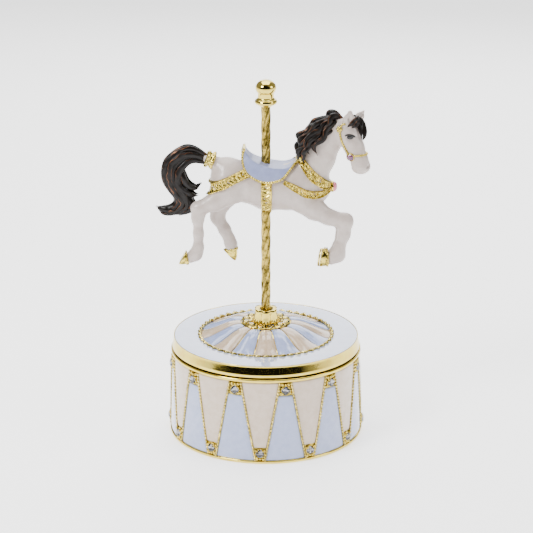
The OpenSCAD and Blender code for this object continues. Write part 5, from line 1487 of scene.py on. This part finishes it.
    def bridle(self) -> None:
        """Makes the bridle with its rosette, and the stone on the jaw."""
        gold = Shell()
        on = self.body.onto
        rosette = on(np.array([[29.2, -5.2, 26.1]]), 0.1, 6, 1.0)[0]
        jaw = on(np.array([[33.5, -7.2, 15.0]]), 0.0, 6, 1.0)[0]
        self.tube(gold, [rosette, (30.0, -5.4, 22.6), (31.2, -5.9, 19.2), jaw], 0.5, 0.2, 1.1)
        self.tube(gold, [rosette, (30.4, -4.8, 27.8), (31.8, -4.6, 28.4)], 0.45, 0.18, 1.1)
        self.tube(gold, [jaw, (35.9, -7.6, 15.7), (38.4, -7.0, 15.8), (40.4, -5.4, 15.9), (40.0, -3.6, 16.0),
                         (37.8, -2.0, 16.0), (35.6, -2.2, 15.6),
                         (34.0, -3.2, 15.2)], 0.48, 0.2, 1.2)
        far = on(np.array([[33.5, 0.8, 25.4]]), 0.1, 6, 1.0)[0]
        self.tube(gold, [far, (34.0, -0.2, 20.6), (34.8, -1.4, 17.4), (35.6, -2.2, 15.6)], 0.48, 0.18, 1.1)
        out = self.body.slope(rosette[None])[0]
        gold.grid(self.rosette(rosette, out, 1.25, 6, 1.0))
        gold.grid(self.rosette(far, self.body.slope(far[None])[0], 0.95, 6, 0.9))
        normal = self.body.slope(jaw[None])[0]
        normal /= np.linalg.norm(normal)
        cup = turned([(0.02, -0.6), (1.5, -0.6), (1.72, 0.1), (1.74, 0.45), (1.6, 0.62), (1.5, 0.5), (1.44, 0.1),
                      (0.02, 0.0)], 40)
        gold.grid(stand(cup.reshape(-1, 3), jaw, normal).reshape(cup.shape) + np.array(self.at()))
        gold.make("bridle_cords", Body.TURNTABLE, [GOLD_TACK], ["bridle"])
        stone = crown_cut(1.5)
        Shell().take(stand(stone[0], jaw + normal * 0.48, normal) + np.array(self.at()), *stone[1:]).make(
            "jaw_crystal", Body.TURNTABLE, [PURPLE, FOIL], ["bridle_stones"], smooth=False)

    def hoof(self, crown: Sequence[float], crown_way: float, sole: Sequence[float], sole_way: float,
             size: Sequence[float]) -> Array:
        """One hoof, lofted from a ring round the leg to the ring of its sole.

        The ring at a share s between them mixes the two by s. Its radius swells by 0.06 sin(pi s), and a
        leafy fringe of eight waves lies over the first third.

        Args:
            crown: Middle of the upper ring.
            crown_way: Direction of the long axis of the upper ring in the side view, in degrees from +X to +Z.
            sole: Middle of the sole.
            sole_way: The same direction for the sole.
            size: Half lengths of the upper ring and of the sole, and the half width of the sole.

        Returns:
            The grid.
        """
        t = np.arange(54) * TAU / 54
        rings = []
        # Each ring is its share of the way to the sole, and how much of its full size it keeps.
        for s, full in ((-0.05, 0.6), (0.0, 1), (0.06, 1), (0.14, 1), (0.22, 1), (0.30, 1), (0.34, 0.97), (0.5, 0.97),
                        (0.7, 0.98), (0.86, 0.99), (0.95, 0.96), (1.0, 0.88), (1.03, 0.7), (1.04, 0.4)):
            way = math.radians(crown_way + (sole_way - crown_way) * s)
            long, wide = size[0] + (size[1] - size[0]) * s, size[2] * (0.88 + 0.12 * s)
            middle = np.asarray(crown) + (np.asarray(sole) - np.asarray(crown)) * s
            leaf = (0.08 + 0.13 * np.cos(8 * t)) * max(0.0, math.sin(math.pi * min(max((s + 0.05) / 0.36, 0.0), 1.0)))
            swell = (1 + 0.06 * math.sin(math.pi * min(max(s, 0), 1)) + leaf) * full
            axis = np.array([math.cos(way), 0.0, math.sin(way)])
            ahead, aside = (swell * long * np.cos(t))[:, None], (swell * wide * np.sin(t))[:, None]
            rings.append(middle + ahead * axis + aside * np.array([0.0, 1.0, 0.0]))
        return np.stack(rings)

    def hooves(self) -> None:
        """Makes the four hooves: wedges whose soles face backwards, as on a cantering horse."""
        y = self.leg_y
        gold = Shell()
        crown, sole, size = (25.4, -y, -27.7), (22.2, -y, -28.1), (3.4, 3.8, 2.6)
        far_crown, far_sole = (np.array(spot) * (1, 0, 1) + np.array(self.far_fore) for spot in (crown, sole))
        for shape in ((crown, 94.0, sole, 81.0, size),
                      (far_crown, 94.0, far_sole, 81.0, size),
                      ((-31.7, -y, -27.9), 100.0, (-34.1, -y, -28.1), 62.0, (2.6, 3.1, 2.3)),
                      ((-14.2, y, -26.2), 14.0, (-14.8, y, -29.7), -46.0, (2.25, 3.5, 2.3))):
            gold.grid(self.hoof(*shape) + np.array(self.at()))
        gold.make("gold_hooves", Body.TURNTABLE, [GOLD_TACK], ["hooves"])

    def build(self) -> None:
        """Makes the horse's pieces."""
        self.body = self.model()
        self.body.cast(Shell(), self.at()).make("horse_figure", Body.TURNTABLE, [HORSE_WHITE], ["horse_body"])
        eyes = Shell()
        for at, wide in (((33.5, -6.4, 22.9), 1.4), ((36.6, 1.4, 22.6), 1.2)):
            spot = self.body.onto(np.array([at]), 0.0, 6, 1.0)[0]
            out = self.body.slope(spot[None])[0]
            dome = turned([(0.02, -0.4), (1.0, -0.4), (1.0, 0.0), (0.8, 0.22), (0.45, 0.34), (0.02, 0.38)],
                          32) * np.array([1.1 * wide, 1.1, 1.4])
            eyes.grid(stand(dome.reshape(-1, 3), spot, out).reshape(dome.shape) + np.array(self.at()))
        self.tube(eyes, [(31.5, -6.2, 23.7), (32.5, -6.6, 24.1), (34.0, -6.7, 23.9), (35.6, -6.3, 23.2)], 0.36, 0.12)
        eyes.make("painted_eyes", Body.TURNTABLE, [EYE_BLACK])
        self.hooves()
        self.hair()
        self.saddlery()
        for band in self.bands():
            self.strap_piece(band).make(band.name, Body.TURNTABLE, [GOLD_TACK], [band.node])
        self.bridle()
        chest = self.body.onto(np.array([[27.0, 0.0, 0.9]]), 0.6, 6, 1.0)[0]
        ornaments = Shell()
        ornaments.grid(self.rosette((14.0, -4.3, 13.9), (-0.2, -0.9, 0.4), 1.7, 5, 1.5))
        ornaments.grid(self.rosette((14.0, 4.3, 13.9), (-0.2, 0.9, 0.4), 1.7, 5, 1.5))
        ornaments.make("withers_ornaments", Body.TURNTABLE, [GOLD_TACK])
        cup = turned([(0.02, -0.9), (2.0, -0.9), (2.3, -0.1), (2.28, 0.3), (2.1, 0.4), (1.8, 0.3), (0.02, 0.2)], 40)
        Shell().grid(stand(cup.reshape(-1, 3), chest, (1, 0, 0.02)).reshape(cup.shape) + np.array(self.at())).make(
            "chest_setting", Body.TURNTABLE, [GOLD_RIM])
        dome = turned([(0.02, 0.1), (1.9, 0.1), (2.05, 0.6), (1.85, 1.25), (1.1, 1.8), (0.02, 2.0)], 40)
        Shell().grid(stand(dome.reshape(-1, 3), chest, (1, 0, 0.02)).reshape(dome.shape) + np.array(self.at())).make(
            "chest_cabochon", Body.TURNTABLE, [PINK], ["chest_stone"])
        self.ferrule()

    def ferrule(self) -> None:
        """Makes the leafy ferrule where the tail joins the rump: a ring whose two rows of leaves curl outwards."""
        leaves = Shell()
        axis = np.array([-0.94, 0.0, 0.34])
        grid = turned([(1.2, -1.7), (2.8, -1.9), (3.6, -1.4), (3.3, -0.7), (2.7, -0.1), (3.2, 0.5), (3.4, 1.2),
                       (2.6, 1.9), (1.3, 1.8)], 72)
        a = np.arange(72) * TAU / 72
        curl = np.array([0, 0.08, 0.10, 0.06, 0.02, 0.06, 0.10, 0.08, 0])[:, None]
        slant = np.array([0, 0, 0, 0, 1, 2, 3, 3, 0])[:, None]
        grid[..., :2] *= (1 + curl * np.cos(7 * a + slant))[..., None]
        leaves.grid(stand(grid.reshape(-1, 3), (-22.5, 0.0, 12.2), axis).reshape(grid.shape) + np.array(self.at()),
                    loop=True)
        leaves.make("tail_leaves", Body.TURNTABLE, [GOLD_TACK], ["tail_ferrule"])


# ------------------------------------------------------------------ movement and studio


@dataclass
class Movement:
    """The musical movement, the key and the base plate. They keep their own shapes and take their metals here."""

    metals: dict[str, Finish] = field(default_factory=lambda: {
        "gold_plate": GOLD_RIM, "antique_gold": GOLD_TACK, "cream_enamel": CREAM, "blue_enamel": BLUE, "crystal": CLEAR,
        "pink_stone": PINK,
        "purple_stone": PURPLE, "horse_enamel": HORSE_WHITE, "mane_enamel": HAIR, "steel": STEEL, "spring_steel": BLUED,
        "movement_brass": BRASS})

    def build(self) -> None:
        """Puts a finish in every node's material slots, chosen by the slot that the record gives it."""
        slots = {node: entry["slot"] for entry in frame["record"].get("materials", []) for node in entry.get("nodes",
                                                                                                             [])}
        for name, node in frame["nodes"].items():
            finish = GOLD_BASE if name == "base_plate" else self.metals.get(slots.get(name, "steel"), STEEL)
            made = finish.material()
            if not node.data.materials:
                node.data.materials.append(made)
            for i in range(len(node.data.materials)):
                node.data.materials[i] = made


@dataclass
class Studio:
    """A pale floor that glows a little of itself, soft lights, a sky and the camera.

    The sky is dark in front, which gives the polished gold a dark side to reflect. The camera sees a plain grey
    in its place.
    """

    eye: tuple[float, float, float] = (0.25, -820.0, 348.0)
    pitch: float = 71.3
    lens: float = 142.9
    glow: float = 1.5
    floor_m: float = 12.0
    dark_edge: tuple[float, float] = (-0.58, -0.38)
    sky_range: tuple[float, float] = (0.015, 0.5)
    sky: float = 0.8
    far_tone: float = 0.86
    lights: tuple = (("key", (-460, -380, 560), 260, 6.0), ("fill", (620, -200, 420), 260, 1.4),
                     ("top", (0, 160, 820), 700, 9.0),
                     ("back", (60, 620, 420), 520, 3.0))

    def light(self, name: str, at: tuple[float, float, float], size: float, watts: float) -> None:
        """Adds a square soft light that faces the middle of the box."""
        lamp = bpy.data.lights.new(name, "AREA")
        lamp.shape, lamp.size, lamp.energy = "SQUARE", size * MM, watts
        made = bpy.data.objects.new(name, lamp)
        spot = np.array(at, float) - np.array([0, 0, 70.0])
        made.location = [v * MM for v in at]
        made.rotation_euler = (math.acos(spot[2] / np.linalg.norm(spot)), 0.0,
                               math.atan2(spot[1], spot[0]) + math.pi / 2)
        bpy.context.scene.collection.objects.link(made)

    def build(self) -> None:
        """Makes the floor, the lights, the sky and the camera."""
        scene = bpy.context.scene
        mesh = bpy.data.meshes.new("floor")
        reach = self.floor_m
        mesh.from_pydata([(-reach, -reach, 0), (reach, -reach, 0), (reach, reach, 0), (-reach, reach, 0)], [],
                         [(0, 1, 2, 3)])
        floor = bpy.data.objects.new("floor", mesh)
        scene.collection.objects.link(floor)
        paper, tree, out = blank("pale paper")
        grain = put(tree, "ShaderNodeTexNoise", {"Vector": place(tree), "Scale": per_mm(4.0)})
        tone = put(tree, "ShaderNodeMix", {0: grain.outputs[0], 6: linear("#F4F4F4"), 7: linear("#F8F8F8")},
                   data_type="RGBA")
        shade = put(tree, "ShaderNodeBsdfPrincipled", {"Base Color": tone.outputs[2], "Roughness": 0.9,
                                                       "Emission Color": (1.0, 1.0, 1.0, 1.0),
                                                       "Emission Strength": self.glow})
        tree.links.new(shade.outputs[0], out.inputs["Surface"])
        mesh.materials.append(paper)
        for name, at, size, watts in self.lights:
            self.light(name, at, size, watts)
        world = bpy.data.worlds.new("studio")
        world.use_nodes = True
        tree = world.node_tree
        tree.nodes.clear()
        way = put(tree, "ShaderNodeSeparateXYZ", {0: put(tree, "ShaderNodeTexCoord").outputs["Generated"]})
        aside = put(tree, "ShaderNodeMath", {0: way.outputs[0], 1: 0.25}, operation="MULTIPLY")
        turn = put(tree, "ShaderNodeMath", {0: way.outputs[1], 1: aside.outputs[0]}, operation="ADD")
        front = put(tree, "ShaderNodeMapRange", {0: turn.outputs[0], 1: self.dark_edge[0], 2: self.dark_edge[1],
                                                   3: self.sky_range[0], 4: self.sky_range[1]})
        tone = put(tree, "ShaderNodeMix", {0: front.outputs[0], 6: (0.0, 0.0, 0.0, 1.0), 7: (1.0, 1.0, 1.0, 1.0)},
                   data_type="RGBA")
        light = put(tree, "ShaderNodeBackground", {"Color": tone.outputs[2], "Strength": self.sky})
        grey = (self.far_tone, self.far_tone, self.far_tone, 1.0)
        paper_far = put(tree, "ShaderNodeBackground", {"Color": grey, "Strength": 1.0})
        seen = put(tree, "ShaderNodeMixShader", {0: put(tree, "ShaderNodeLightPath").outputs["Is Camera Ray"],
                                                 1: light.outputs[0], 2: paper_far.outputs[0]})
        tree.links.new(seen.outputs[0], put(tree, "ShaderNodeOutputWorld").inputs["Surface"])
        scene.world = world
        camera = bpy.data.cameras.new("camera")
        camera.lens, camera.sensor_width = self.lens, 36.0
        camera.clip_start, camera.clip_end = 0.05, 60.0
        view = bpy.data.objects.new("camera", camera)
        view.location = [v * MM for v in self.eye]
        view.rotation_euler = (math.radians(self.pitch), 0.0, 0.0)
        scene.collection.objects.link(view)
        scene.camera = view


def main() -> None:
    """Builds everything."""
    Drum().build()
    Lid().build()
    Pole().build()
    Horse().build()
    Movement().build()
    Studio().build()


if __name__ == "__main__":
    logging.basicConfig(level=logging.INFO, format="%(message)s")
    main()
